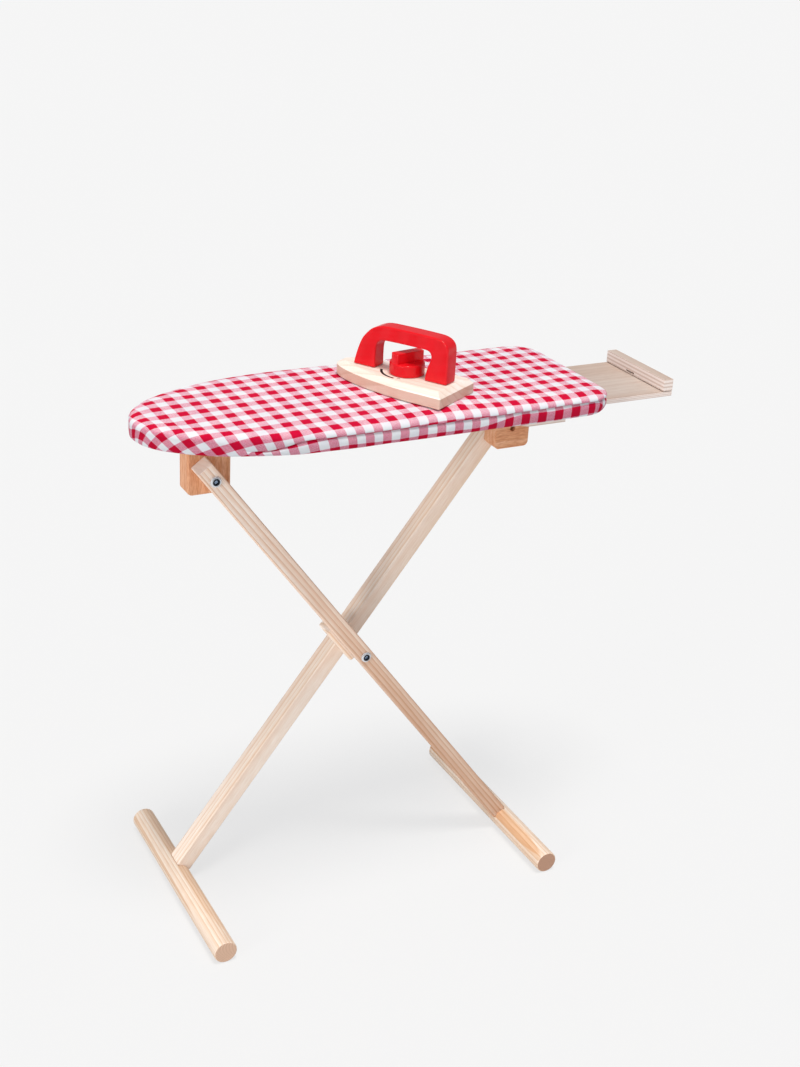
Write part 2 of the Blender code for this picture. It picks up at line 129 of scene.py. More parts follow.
def named(name):
    piece = bpy.context.active_object
    piece.name = name
    piece.data.name = name
    only(piece)
    return piece


def pick(piece, kind, test):
    bpy.ops.mesh.select_mode(type=kind)
    bpy.ops.mesh.select_all(action="DESELECT")
    shape = bmesh.from_edit_mesh(piece.data)
    shape.normal_update()
    parts = {"FACE": shape.faces, "EDGE": shape.edges, "VERT": shape.verts}[kind]
    for part in parts:
        part.select_set(bool(test(part)))
    shape.select_flush_mode()
    bmesh.update_edit_mesh(piece.data)


def middle(edge):
    return (edge.verts[0].co + edge.verts[1].co) / 2


def runsAlong(edge, axis):
    span = edge.verts[1].co - edge.verts[0].co
    return abs(span[axis]) > 0.98 * span.length


def addModifier(piece, kind, **settings):
    only(piece)
    modifier = piece.modifiers.new(kind.lower(), kind)
    for name, value in settings.items():
        setattr(modifier, name, value)
    bpy.ops.object.modifier_apply(modifier=modifier.name)


def softEdges(piece, width, segments=3, angle=40):
    addModifier(piece, "BEVEL", width=width, segments=segments, limit_method="ANGLE",
                angle_limit=math.radians(angle))


def smoothSurface(piece, angle=35):
    only(piece)
    bpy.ops.object.shade_smooth_by_angle(angle=math.radians(angle))
    addModifier(piece, "WEIGHTED_NORMAL", keep_sharp=True, weight=60)


def settle(piece):
    only(piece)
    bpy.ops.object.transform_apply(location=True, rotation=True, scale=True)
    return piece


def boxAt(name, size, centre):
    bpy.ops.object.select_all(action="DESELECT")
    bpy.ops.mesh.primitive_cube_add(size=1, location=centre)
    piece = named(name)
    piece.scale = size
    return settle(piece)


def rodAt(name, radius, length, centre, sides=64, along="Y"):
    bpy.ops.object.select_all(action="DESELECT")
    turn = (math.pi / 2, 0, 0) if along == "Y" else (0, 0, 0)
    bpy.ops.mesh.primitive_cylinder_add(vertices=sides, radius=radius, depth=length,
                                        location=centre, rotation=turn)
    return settle(named(name))


def cutAway(piece, cutter, operation="DIFFERENCE"):
    addModifier(piece, "BOOLEAN", operation=operation, object=cutter, solver="EXACT")
    bpy.data.objects.remove(cutter, do_unlink=True)


def turnAbout(piece, angle, place):
    piece.data.transform(Matrix.Translation(place) @ Matrix.Rotation(angle, 4, "Y"))
    return piece


def finishPiece(piece, surface, body, slot, *nodes):
    piece.data.materials.clear()
    piece.data.materials.append(surface)
    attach(piece, body)
    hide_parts(*nodes)
    return piece


# Finishes
def grainCoordinates(tree, turn, origin, alongShare):
    # Object coordinates turned until Z runs along the grain, then shortened along it
    coordinates = addNode(tree, "ShaderNodeTexCoord").outputs["Object"]
    turned = addNode(tree, "ShaderNodeMapping", {"Vector": coordinates, "Rotation": turn,
                                                 "Location": origin}).outputs[0]
    drawn = addNode(tree, "ShaderNodeMapping", {"Vector": turned, "Scale": (1, 1, alongShare)}).outputs[0]
    return turned, drawn


def woodSurface(name, look, turn=(0, 0, 0), origin=(0, 0, 0)):
    # early wood, late wood lines, fibres along the grain and slow patches
    made, tree, shader = newSurface(name, look["roughness"], Specular_IOR_Level=0.35)
    turned, drawn = grainCoordinates(tree, turn, origin, look["alongShare"])
    sway = addNode(tree, "ShaderNodeTexNoise", {"Vector": drawn, "Scale": look["swayScale"], "Detail": 2.0})
    moved = addNode(tree, "ShaderNodeVectorMath", {0: sway.outputs["Color"], 1: [look["sway"]] * 3, 2: drawn},
                    operation="MULTIPLY_ADD").outputs[0]
    rings = addNode(tree, "ShaderNodeTexWave", {"Vector": moved, "Scale": 0.314 / look["ringWidth"],
                                                "Distortion": 0.6, "Detail": 1.0, "Detail Scale": 1.5},
                    wave_type="RINGS", rings_direction="Z", wave_profile="SAW").outputs["Fac"]
    base = colourRamp(tree, rings, look["rings"])
    fibres = addNode(tree, "ShaderNodeTexNoise", {"Vector": drawn, "Scale": look["fibreScale"],
                                                  "Detail": 3.0, "Roughness": 0.6}).outputs["Fac"]
    fibreColour = colourRamp(tree, fibres, [(0.36, look["fibreDark"]), (0.62, "FFFFFF")])
    grained = mixColours(tree, look["fibreShare"], base, fibreColour, "MULTIPLY")
    patches = addNode(tree, "ShaderNodeTexNoise", {"Vector": drawn, "Scale": look["patchScale"]}).outputs["Fac"]
    patchColour = colourRamp(tree, patches, [(0.35, look["patchDark"]), (0.65, "FFFFFF")])
    colour = mixColours(tree, 1.0, grained, patchColour, "MULTIPLY")
    tree.links.new(colour, shader.inputs["Base Color"])
    bump = addNode(tree, "ShaderNodeBump", {"Height": fibres, "Strength": 0.25, "Distance": 0.0002})
    tree.links.new(bump.outputs[0], shader.inputs["Normal"])
    return made, tree, shader, turned, colour


# planed and sanded pine, clear and matt: warm bands of late wood about 5 mm apart
nearLegLook = {
    "roughness": 0.62, "alongShare": 0.035, "swayScale": 45.0, "sway": 0.009, "ringWidth": 0.0052,
    "rings": [(0.0, "FCEFE4"), (0.45, "FAE8DA"), (0.80, "EED1BB"), (0.93, "E0BB9F"), (1.0, "F8E9DC")],
    "fibreScale": 1500.0, "fibreDark": "E6CFBC", "fibreShare": 0.36,
    "patchScale": 90.0, "patchDark": "F1E1D5",
    # the near leg's painted shade towards its foot, then its pale sawn top end
    "footShadeFrom": 0.30, "footShadeTo": 0.12, "brown": "E4DAD2", "endAt": 0.5486, "endWood": "E6D6CE",
}
# the far leg, and the spacer, take a paler copy of the same pine: painted light for the far leg's brightly lit sides
farLegLook = dict(nearLegLook, ringWidth=0.0064, fibreShare=0.35, fibreDark="DEC3A8", patchDark="F8EFE8",
                  rings=[(0.0, "FCF1E7"), (0.5, "FAEBDE"), (0.82, "F3DDC8"), (0.94, "ECCFB4"), (1.0, "FBEEE2")])
# turned pine dowel, paler and closer ringed than the legs
dowelLook = dict(nearLegLook, ringWidth=0.0040, fibreShare=0.40, patchDark="F7EEE6",
                 rings=[(0.0, "EEE1D4"), (0.5, "EBDBCB"), (0.82, "E2CAB2"), (0.94, "DABC9F"), (1.0, "ECDDCF")])
nearFootLook = dict(dowelLook, patchColour="F0D3B4", patchFaces=(-math.sin(lean), 0, math.cos(lean)),
                    patchEnd=-0.128, patchSide=0.86, patchShare=0.8, endDark="A07A66", endPale="C39A80")
farFootLook = dict(dowelLook, patchColour="F6DDC0", patchFaces=(math.sin(lean), 0, math.cos(lean)),
                   patchEnd=-0.110, patchSide=0.75, patchShare=0.4, endDark="BD9880", endPale="DDBBA2")
# steamed beech: even orange brown with short dark flecks
beechLook = {
    "roughness": 0.6, "alongShare": 0.12, "swayScale": 60.0, "sway": 0.004, "ringWidth": 0.0060,
    "rings": [(0.0, "F3C5A2"), (0.6, "EFBB94"), (1.0, "E6AC80")],
    "fibreScale": 1100.0, "fibreDark": "C48A5A", "fibreShare": 0.55,
    "patchScale": 110.0, "patchDark": "F0DFD2",
}
# birch plywood face veneer: pale grey beige with long soft grain
plyLook = {
    "roughness": 0.65, "alongShare": 0.05, "swayScale": 30.0, "sway": 0.014, "ringWidth": 0.0090,
    "rings": [(0.0, "CBBDB3"), (0.6, "C9BAAF"), (1.0, "C4B3A8")],
    "fibreScale": 1300.0, "fibreDark": "D6C2B4", "fibreShare": 0.30,
    "patchScale": 55.0, "patchDark": "F5EDE8",
}
# maple, sanded smooth: nearly white, with faint rings
mapleLook = {
    "roughness": 0.5, "alongShare": 0.06, "swayScale": 35.0, "sway": 0.010, "ringWidth": 0.0085,
    "rings": [(0.0, "FDF6F0"), (0.6, "FBF3EC"), (0.9, "F3E4D9"), (1.0, "FCF4EE")],
    "fibreScale": 1400.0, "fibreDark": "F0E1D4", "fibreShare": 0.35,
    "patchScale": 60.0, "patchDark": "FAF1EA",
}


def legSurface(name, turn, origin, look, near):
    # the near leg is darker and browner towards its foot, a painted shade, and its sawn top end is a paler pink grey
    made, tree, shader, turned, colour = woodSurface(name, look, turn, origin)
    if near:
        height = addNode(tree, "ShaderNodeSeparateXYZ", {0: turned}).outputs["Z"]
        footShadeShare = addNode(tree, "ShaderNodeMapRange", {"Value": height, "From Min": look["footShadeFrom"],
                                                       "From Max": look["footShadeTo"]}).outputs[0]
        low = mixColours(tree, footShadeShare, colour, mixColours(tree, 1.0, colour, look["brown"], "MULTIPLY"))
        share = addNode(tree, "ShaderNodeMapRange", {"Value": height, "From Min": look["endAt"],
                                                     "From Max": look["endAt"] + 0.0006}).outputs[0]
        pale = mixColours(tree, 0.75, low, look["endWood"])
        tree.links.new(mixColours(tree, share, low, pale), shader.inputs["Base Color"])
    return made


def footSurface(name, turn, origin, look):
    # the turned skin cuts through the rings: a warm patch with a pointed end, and brown sawn ends
    made, tree, shader, turned, colour = woodSurface(name, look, turn, origin)
    coordinates = addNode(tree, "ShaderNodeTexCoord")
    normal = coordinates.outputs["Normal"]
    across = addNode(tree, "ShaderNodeSeparateXYZ", {0: normal}).outputs
    facing = addNode(tree, "ShaderNodeVectorMath", {0: normal, 1: look["patchFaces"]},
                     operation="DOT_PRODUCT").outputs["Value"]
    along = addNode(tree, "ShaderNodeSeparateXYZ", {0: coordinates.outputs["Object"]}).outputs["Y"]
    sideLimit = addNode(tree, "ShaderNodeMapRange", {"Value": along, "From Min": look["patchEnd"],
                                                     "From Max": look["patchEnd"] + 0.035, "To Min": 1.0,
                                                     "To Max": look["patchSide"]}).outputs[0]
    beyond = calculate(tree, "SUBTRACT", facing, sideLimit)
    patchShare = addNode(tree, "ShaderNodeMapRange", {"Value": beyond, "From Min": -0.015, "From Max": 0.02,
                                                      "To Max": look["patchShare"]}).outputs[0]
    skin = mixColours(tree, patchShare, colour, mixColours(tree, 1.0, colour, look["patchColour"], "MULTIPLY"))
    endShare = addNode(tree, "ShaderNodeMapRange", {"Value": calculate(tree, "ABSOLUTE", across["Y"]),
                                                    "From Min": 0.75, "From Max": 0.95}).outputs[0]
    yearLines = addNode(tree, "ShaderNodeTexWave", {"Vector": turned, "Scale": 0.314 / 0.0016,
                                                    "Distortion": 1.5, "Detail": 1.0},
                        wave_type="RINGS", rings_direction="Z").outputs["Fac"]
    endWood = colourRamp(tree, yearLines, [(0.1, look["endDark"]), (0.8, look["endPale"])])
    tree.links.new(mixColours(tree, endShare, skin, endWood), shader.inputs["Base Color"])
    return made


def plySurface(name, turn, plyHeight, origin):
    # the cut edge shows the crossed plies as light and dark lines
    made, tree, shader, turned, colour = woodSurface(name, plyLook, turn, origin)
    coordinates = addNode(tree, "ShaderNodeTexCoord")
    upright = addNode(tree, "ShaderNodeSeparateXYZ", {0: coordinates.outputs["Normal"]}).outputs["Z"]
    edgeShare = addNode(tree, "ShaderNodeMapRange", {"Value": calculate(tree, "ABSOLUTE", upright),
                                                     "From Min": 0.75, "From Max": 0.45}).outputs[0]
    plies = addNode(tree, "ShaderNodeTexWave", {"Vector": coordinates.outputs["Object"],
                                                "Scale": 0.314 / plyHeight, "Distortion": 0.3,
                                                "Detail Scale": 40.0},
                    wave_type="BANDS", bands_direction="Z").outputs["Fac"]
    plyColour = colourRamp(tree, plies, [(0.2, "D8C4B9"), (0.5, "ECDDD5"), (0.8, "F1E4DD")])
    tree.links.new(mixColours(tree, edgeShare, colour, plyColour), shader.inputs["Base Color"])
    return made


def mapleSurface(name, marks):
    # the grain runs along the iron, with the heart of the tree some way under it
    grainTurn = (Matrix.Rotation(-math.pi / 2, 3, "Y") @ Matrix.Rotation(-marks["heading"], 3, "Z")).to_euler()
    made, tree, shader, turned, colour = woodSurface(name, mapleLook, tuple(grainTurn), (0.625, 0.02, 0.0))
    coordinates = addNode(tree, "ShaderNodeTexCoord")
    facing = addNode(tree, "ShaderNodeSeparateXYZ", {0: coordinates.outputs["Normal"]}).outputs["Z"]
    # faces turned away from the top are darkened: painted shade on the base's sides
    shadedSideShare = addNode(tree, "ShaderNodeMapRange", {"Value": facing, "From Min": 0.30,
                                                     "From Max": 0.05}).outputs[0]
    shadedSideWood = mixColours(tree, 0.8, colour, "D8BBAA", "MULTIPLY")
    wood = mixColours(tree, shadedSideShare, colour, shadedSideWood)
    place = addNode(tree, "ShaderNodeSeparateXYZ", {0: coordinates.outputs["Object"]}).outputs
    away = [calculate(tree, "SUBTRACT", place[axis], centre) for axis, centre in zip("XY", marks["centre"])]
    radius = calculate(tree, "SQRT", calculate(tree, "ADD", calculate(tree, "MULTIPLY", away[0], away[0]),
                                               calculate(tree, "MULTIPLY", away[1], away[1])))
    # measured from -X, so that the printed marks do not cross the jump in the angle
    angle = calculate(tree, "ARCTAN2", calculate(tree, "MULTIPLY", away[1], -1.0),
                      calculate(tree, "MULTIPLY", away[0], -1.0))
    onTop = calculate(tree, "GREATER_THAN", facing, 0.9)
    for ink, ringRadius, width, start, end in marks["arcs"]:
        onRing = calculate(tree, "COMPARE", radius, ringRadius, width / 2)
        onArc = calculate(tree, "COMPARE", angle, (start + end) / 2, abs(end - start) / 2)
        shown = calculate(tree, "MULTIPLY", calculate(tree, "MULTIPLY", onRing, onArc), onTop)
        wood = mixColours(tree, shown, wood, ink)
    tree.links.new(wood, shader.inputs["Base Color"])
    return made


def ginghamSurface(name, look):
    # yarn-dyed plain weave cotton: red over red is deep, red over white is pink
    made, tree, shader = newSurface(name, 0.9, Sheen_Weight=0.02, Sheen_Roughness=0.4,
                                    Specular_IOR_Level=0.06)
    checks = addNode(tree, "ShaderNodeUVMap", uv_map="checks").outputs[0]
    wobble = addNode(tree, "ShaderNodeTexNoise", {"Vector": checks, "Scale": 1.4, "Detail": 3.0}).outputs["Color"]
    moved = addNode(tree, "ShaderNodeVectorMath", {0: wobble, 1: [look["wobble"]] * 3, 2: checks},
                    operation="MULTIPLY_ADD").outputs[0]
    part = addNode(tree, "ShaderNodeSeparateXYZ", {0: moved}).outputs
    stripes = []
    for axis in "XY":
        phase = calculate(tree, "FRACT", calculate(tree, "ADD", part[axis], 100.25))
        distance = calculate(tree, "ABSOLUTE", calculate(tree, "SUBTRACT", phase, 0.25))
        far = calculate(tree, "ABSOLUTE", calculate(tree, "SUBTRACT", phase, 1.25))
        nearest = calculate(tree, "MINIMUM", distance, far)
        stripes.append(addNode(tree, "ShaderNodeMapRange", {"Value": nearest, "From Min": 0.262,
                                                            "From Max": 0.238}).outputs[0])
    # real threads are about 0.4 mm apart, drawn coarser here so that they show
    weave = addNode(tree, "ShaderNodeTexChecker", {"Vector": checks, "Scale": look["threads"]}).outputs["Fac"]
    over = addNode(tree, "ShaderNodeMapRange", {"Value": weave, "To Min": 0.5 - look["contrast"],
                                                "To Max": 0.5 + look["contrast"]}).outputs[0]
    slub = addNode(tree, "ShaderNodeTexNoise", {"Vector": checks, "Scale": 9.0, "Detail": 4.0}).outputs["Fac"]
    uneven = calculate(tree, "MULTIPLY_ADD", slub, 0.16, -0.08)
    overUneven = calculate(tree, "ADD", over, uneven)
    first = calculate(tree, "MULTIPLY", stripes[0], overUneven)
    second = calculate(tree, "MULTIPLY", stripes[1], calculate(tree, "SUBTRACT", 1.0, overUneven))
    redShare = calculate(tree, "ADD", first, second)
    # the sides take a darker copy of the cloth's colours, a painted shade, while the top keeps the lit colours
    upright = addNode(tree, "ShaderNodeSeparateXYZ", {0: addNode(tree, "ShaderNodeTexCoord").outputs["Normal"]})
    shadedSideShare = addNode(tree, "ShaderNodeMapRange", {"Value": upright.outputs["Z"], "From Min": 0.93,
                                                     "From Max": 0.45}).outputs[0]
    cloth = mixColours(tree, shadedSideShare, colourRamp(tree, redShare, look["top"]),
                       colourRamp(tree, redShare, look["sides"]))
    tone = addNode(tree, "ShaderNodeTexNoise", {"Vector": checks, "Scale": 0.8, "Detail": 5.0}).outputs["Fac"]
    toneColour = colourRamp(tree, tone, [(0.3, "F3F0F5"), (0.7, "FFFFFF")])
    tree.links.new(mixColours(tree, 1.0, cloth, toneColour, "MULTIPLY"), shader.inputs["Base Color"])
    height = calculate(tree, "ADD", calculate(tree, "MULTIPLY", weave, 0.5), slub)
    bump = addNode(tree, "ShaderNodeBump", {"Height": height, "Strength": 0.5, "Distance": 0.0003})
    tree.links.new(bump.outputs[0], shader.inputs["Normal"])
    return made


def paintSurface(name, colours):
    # sprayed gloss enamel on wood: deep red, a hard clear shine, faint grain showing through
    made, tree, shader = newSurface(name, 0.34, Specular_IOR_Level=0.12, Coat_Weight=0.32, Coat_Roughness=0.05)
    coordinates = addNode(tree, "ShaderNodeTexCoord").outputs["Object"]
    cloud = addNode(tree, "ShaderNodeTexNoise", {"Vector": coordinates, "Scale": 70.0, "Detail": 2.0}).outputs["Fac"]
    colour = colourRamp(tree, cloud, [(0.3, colours[0]), (0.7, colours[1])])
    tree.links.new(colour, shader.inputs["Base Color"])
    peel = addNode(tree, "ShaderNodeTexNoise", {"Vector": coordinates, "Scale": 420.0}).outputs["Fac"]
    bump = addNode(tree, "ShaderNodeBump", {"Height": peel, "Strength": 0.12, "Distance": 0.0002})
    tree.links.new(bump.outputs[0], shader.inputs["Normal"])
    return made


def steelSurface(name, centre=None):
    # zinc plated steel: bright, slightly brushed; round a socket, painted shade darkens its walls and rim, with a
    # painted bluish reflection inside
    made, tree, shader = newSurface(name, 0.22, Metallic=0.55)
    coordinates = addNode(tree, "ShaderNodeTexCoord").outputs["Object"]
    rub = addNode(tree, "ShaderNodeTexNoise", {"Vector": coordinates, "Scale": 900.0, "Detail": 2.0}).outputs["Fac"]
    colour = colourRamp(tree, rub, [(0.3, "C9CDD4"), (0.7, "EEF1F5")])
    if centre:
        moved = addNode(tree, "ShaderNodeMapping", {"Vector": coordinates,
                                                    "Location": [-c for c in centre]}).outputs[0]
        flat = addNode(tree, "ShaderNodeMapping", {"Vector": moved, "Scale": (1, 0, 1)}).outputs[0]
        radius = addNode(tree, "ShaderNodeVectorMath", {0: flat}, operation="LENGTH").outputs["Value"]
        share = calculate(tree, "MULTIPLY", radius, 1 / 0.006)
        # painted shade in and round the socket, and a painted bluish reflection on its floor
        socketShadeAndReflection = colourRamp(tree, share, [(0.06, "0A0E18"), (0.11, "C4DAF4"), (0.26, "AFC6E2"), (0.34, "0C101A"),
                                        (0.58, "1A2030"), (0.70, "FFFFFF")])
        colour = mixColours(tree, 1.0, colour, socketShadeAndReflection, "MULTIPLY")
    tree.links.new(colour, shader.inputs["Base Color"])
    rough = addNode(tree, "ShaderNodeMapRange", {"Value": rub, "To Min": 0.16, "To Max": 0.32}).outputs[0]
    tree.links.new(rough, shader.inputs["Roughness"])
    return made


def foamSurface(name):
    # cream polyurethane foam: matt, with open cells
    made, tree, shader = newSurface(name, 0.95, Specular_IOR_Level=0.1)
    coordinates = addNode(tree, "ShaderNodeTexCoord").outputs["Object"]
    cells = addNode(tree, "ShaderNodeTexVoronoi", {"Vector": coordinates, "Scale": 700.0}).outputs["Distance"]
    colour = colourRamp(tree, cells, [(0.1, "CFC7B0"), (0.5, "F0EADB")])
    tree.links.new(colour, shader.inputs["Base Color"])
    bump = addNode(tree, "ShaderNodeBump", {"Height": cells, "Strength": 0.6, "Distance": 0.0006})
    tree.links.new(bump.outputs[0], shader.inputs["Normal"])
    return made


print("finishes ready")

# Cover and pad
coverSizes = {
    "boardLength": 0.4935, "halfWidth": 0.0935, "tailHalfWidth": 0.0920, "noseLength": 0.184,
    "tailCorner": 0.030, "middle": -0.049,
    "thickness": 0.0009, "topStartsAt": 0.020, "hemReach": 0.0085, "hemDrop": 0.0010, "trayHalfWidth": 0.058,
    "creaseStart": (-0.215, -0.193), "creaseRise": (-0.195, -0.148), "creaseHeight": 0.0122, "creaseDepth": 0.0021,
    "tuck": 0.0075, "tuckMore": 0.0115, "slip": 0.0103, "cornerRise": 0.0035,
}
coverSteps = {"nose": 60, "side": 64, "corner": 12, "tail": 14}
# upper part of the section: inset and height over the panel's underside
coverCrown = [(0.0, 0.0), (0.0001, 0.0118), (0.0006, 0.0138), (0.0014, 0.0156), (0.0026, 0.0171), (0.0042, 0.0184),
              (0.0064, 0.0194), (0.0095, 0.0202), (0.0140, 0.0207), (0.0200, 0.0211), (0.0270, 0.0213),
              (0.0350, 0.0215), (0.0450, 0.0217), (0.0590, 0.0219), (0.0740, 0.0220)]
# checks of the cloth: a red square's centre, then one period along the board and one across it
checkCentre = (-0.22558, -0.05798)
checkAlong = (0.02069, 0.001395)
checkAcross = (-0.00034, -0.021376)
# past the iron the cloth was pulled askew by this much
checkPull = (0.0090, 0.0155)
# round the near side of the nose it was gathered, this share of the way down
checkNosePull = (-0.42, -0.32)


def boardOutline(inset):
    size = coverSizes
    tip = size["middle"] - size["boardLength"] / 2 + inset
    tail = size["middle"] + size["boardLength"] / 2 - inset
    wide = size["halfWidth"] - inset
    narrow = size["tailHalfWidth"] - inset
    reach = size["noseLength"] - inset
    corner = max(size["tailCorner"] - inset, size["tailCorner"] / 4)
    side = []
    for step in range(coverSteps["nose"]):
        turn = math.pi / 2 * step / coverSteps["nose"]
        side.append((tip + reach * (1 - math.cos(turn)), wide * math.sin(turn)))
    start = tip + reach
    for step in range(coverSteps["side"]):
        along = step / coverSteps["side"]
        side.append((start + (tail - corner - start) * along, wide + (narrow - wide) * along))
    for step in range(coverSteps["corner"] + 1):
        turn = math.pi / 2 * step / coverSteps["corner"]
        side.append((tail - corner + corner * math.sin(turn), narrow - corner + corner * math.cos(turn)))
    for step in range(1, coverSteps["tail"]):
        side.append((tail, (narrow - corner) * (1 - step / coverSteps["tail"])))
    side.append((tail, 0.0))
    whole = side + [(x, -y) for x, y in reversed(side[1:-1])]
    return [(x, y + boardFrame["aside"]) for x, y in whole]


def outwardNormals(outline):
    normals = []
    for index, (x, y) in enumerate(outline):
        nextX, nextY = outline[(index + 1) % len(outline)]
        lastX, lastY = outline[index - 1]
        normal = Vector((-(nextY - lastY), nextX - lastX))
        normals.append(normal.normalized())
    return normals


def ease(value, low, high):
    share = min(max((value - low) / (high - low), 0.0), 1.0)
    return share * share * (3 - 2 * share)


def coverSection(x, y):
    # from the folded hem under the panel, up the side, over the crease and the edge, to the crown
    size = coverSizes
    away = abs(y - boardFrame["aside"])
    hem = ease(away, size["trayHalfWidth"], size["trayHalfWidth"] + 0.012) if x > 0.09 else 1.0
    hem = max(hem, 0.08)
    near = 1.0 if y < boardFrame["aside"] else 0.6
    crease = near * ease(x, *size["creaseStart"]) * ease(away, 0.035, 0.060)
    creaseHeight = size["creaseHeight"] + 0.0016 * ease(x, 0.05, 0.19)
    creaseHeight -= 0.0088 * ease(x, -0.240, -0.200) * (1 - ease(x, *size["creaseRise"]))
    creaseHeight += 0.0006 * noise.noise(Vector((x * 28, y * 9, 3.0)))
    tuck = crease * (size["tuck"] + size["tuckMore"] * ease(x, 0.02, 0.09))
    reach = size["hemReach"] * hem
    drop = size["hemDrop"] * hem
    corner = size["cornerRise"] * ease(x, 0.160, 0.190) * ease(away, 0.062, 0.085)
    sway = 0.0007 * noise.noise(Vector((x * 22, y * 22, 5.0))) * hem
    low = corner + sway
    points = [(0.0024 + reach, -drop), (0.0024 + reach * 0.7, -drop * 1.1), (0.0024 + reach * 0.35, -drop * 1.1),
              (0.0024, -drop + low * 0.7), (0.0014, low), (0.0008, creaseHeight * 0.10 + low),
              (0.0005, creaseHeight * 0.25 + low * 0.7), (0.0003, creaseHeight * 0.48 + low * 0.4),
              (0.0003, creaseHeight * 0.74), (0.0005 + 0.0008 * crease, creaseHeight * 0.90),
              (0.0005 + size["creaseDepth"] * crease, creaseHeight * 0.985)]
    points = [(inset, height, tuck) for inset, height in points]
    points.append((0.0004 + size["creaseDepth"] * 0.8 * crease, creaseHeight + 0.0004, tuck * 0.5))
    points.append((0.0003, max(creaseHeight + 0.0014, 0.0125 * (1 - crease)), 0.0))
    lowest = coverCrown[2][1]
    for inset, height in coverCrown[2:]:
        lift = max(creaseHeight - 0.0112, 0.0) * max(0.0, 1 - (height - lowest) / 0.006)
        points.append((inset, height + lift, 0.0))
    return points


def wrinkle(x, y, inset, height):
    # soft unevenness of the laid cloth; a fold beside the iron's heel
    amount = 0.00045 * noise.noise(Vector((x * 16, y * 22, 1.7)))
    amount += 0.00020 * noise.noise(Vector((x * 55, y * 60, 7.1)))
    if inset < 0.006 and height < 0.0185:
        amount += 0.0005 * noise.noise(Vector((x * 75, y * 75, height * 40)))
    return amount


def heelFold(x, y, inset):
    start = Vector((0.012, -0.081))
    end = Vector((0.064, -0.053))
    span = end - start
    along = (Vector((x, y)) - start).dot(span) / span.length_squared
    across = (Vector((x, y)) - start - span * along).dot(Vector((span.y, -span.x)).normalized())
    rise = math.exp(-((across - 0.001) / 0.0052) ** 2) * ease(along, -0.30, 0.15) * (1 - ease(along, 0.75, 1.25))
    return 0.0024 * rise * ease(inset, 0.004, 0.012)


def checkPlace(x, y):
    pulled = ease(x, -0.03, 0.09 + 0.065 * ease(-y, 0.03, 0.09))
    across = checkAlong[0] * checkAcross[1] - checkAlong[1] * checkAcross[0]
    dx = x + checkPull[0] * pulled - checkCentre[0]
    dy = y + checkPull[1] * pulled - checkCentre[1]
    return ((dx * checkAcross[1] - dy * checkAcross[0]) / across,
            (dy * checkAlong[0] - dx * checkAlong[1]) / across)


def nosePull(point):
    x, y = point
    along = (1 - 0.45 * ease(x, -0.205, -0.165)) * (1 - ease(x, -0.13, -0.04))
    return along * ease(boardFrame["aside"] - y, -0.005, 0.025)


def clothPieces(name, sections, crease, bottomClosed):
    edgeOutline = boardOutline(0.0)
    normals = outwardNormals(edgeOutline)
    base = boardFrame["panelBottom"]
    count = len(edgeOutline)
    half = count // 2
    columns = []
    for index, (x, y) in enumerate(edgeOutline):
        columns.append(sections(x, y))
    insets = {round(point[0], 6) for column in columns for point in column}
    outlines = {inset: boardOutline(inset) for inset in insets}
    shape = bmesh.new()
    layer = shape.loops.layers.uv.new("checks")
    rows, places = [], []
    for level in range(len(columns[0])):
        row, rowPlaces = [], []
        for index, column in enumerate(columns):
            inset, height, tuck = column[level]
            x, y = outlines[round(inset, 6)][index]
            edge = next(i for i, point in enumerate(column) if point[0] >= coverSizes["topStartsAt"] and i > 8)
            if level >= edge:
                flatX, flatY = x, y
            else:
                reach = 0.0
                for low, high in zip(column[level:edge], column[level + 1:edge + 1]):
                    reach += math.hypot(high[0] - low[0], high[1] - low[1])
                fromX, fromY = outlines[round(column[edge][0], 6)][index]
                skew = nosePull(edgeOutline[index])
                flatX = fromX + normals[index].x * (reach + tuck) + skew * checkNosePull[0] * reach
                if fromY < boardFrame["aside"]:
                    flatX += coverSizes["slip"] * min(tuck / coverSizes["tuck"], 1.0)
                flatY = fromY + normals[index].y * (reach + tuck) + skew * checkNosePull[1] * reach
            push = wrinkle(x, y, inset, height) if crease else 0.0
            sideways = 1 - ease(inset, 0.001, 0.008)
            lift = heelFold(x, y, inset) if crease else 0.0
            if inset > 0.002 and height < 0.003:
                push = 0.0
            row.append(shape.verts.new((x + normals[index].x * push * sideways,
                                        y + normals[index].y * push * sideways,
                                        base + height + push * (1 - sideways) + lift)))
            rowPlaces.append(checkPlace(flatX, flatY))
        rows.append(row)
        places.append(rowPlaces)
    # the middle: draw the last outline in to a line down the board
    last = [vert.co.copy() for vert in rows[-1]]
    ends = (last[0].x + 0.020, last[half].x - 0.020)
    for share in (0.35, 0.7, 1.0):
        row, rowPlaces = [], []
        for index, point in enumerate(last):
            spineX = min(max(point.x, ends[0]), ends[1])
            x = point.x + (spineX - point.x) * share
            y = point.y + (boardFrame["aside"] - point.y) * share
            lift = wrinkle(x, y, 0.08, 0.022) if crease else 0.0
            row.append(shape.verts.new((x, y, base + columns[0][-1][1] + lift)))
            rowPlaces.append(checkPlace(x, y))
        rows.append(row)
        places.append(rowPlaces)
    for level in range(len(rows) - 1):
        for index in range(count):
            after = (index + 1) % count
            corners = ((level, index), (level, after), (level + 1, after), (level + 1, index))
            face = shape.faces.new([rows[a][b] for a, b in reversed(corners)])
            for loop, (a, b) in zip(face.loops, reversed(corners)):
                loop[layer].uv = places[a][b]
    if bottomClosed:
        floor = shape.faces.new(rows[0])
        for loop, (u, v) in zip(floor.loops, places[0]):
            loop[layer].uv = (u, v)
    bmesh.ops.remove_doubles(shape, verts=shape.verts, dist=0.00001)
    bmesh.ops.recalc_face_normals(shape, faces=shape.faces)
    mesh = bpy.data.meshes.new(name)
    shape.to_mesh(mesh)
    shape.free()
    piece = bpy.data.objects.new(name, mesh)
    scene.collection.objects.link(piece)
    only(piece)
    bpy.ops.object.shade_smooth()
    return piece


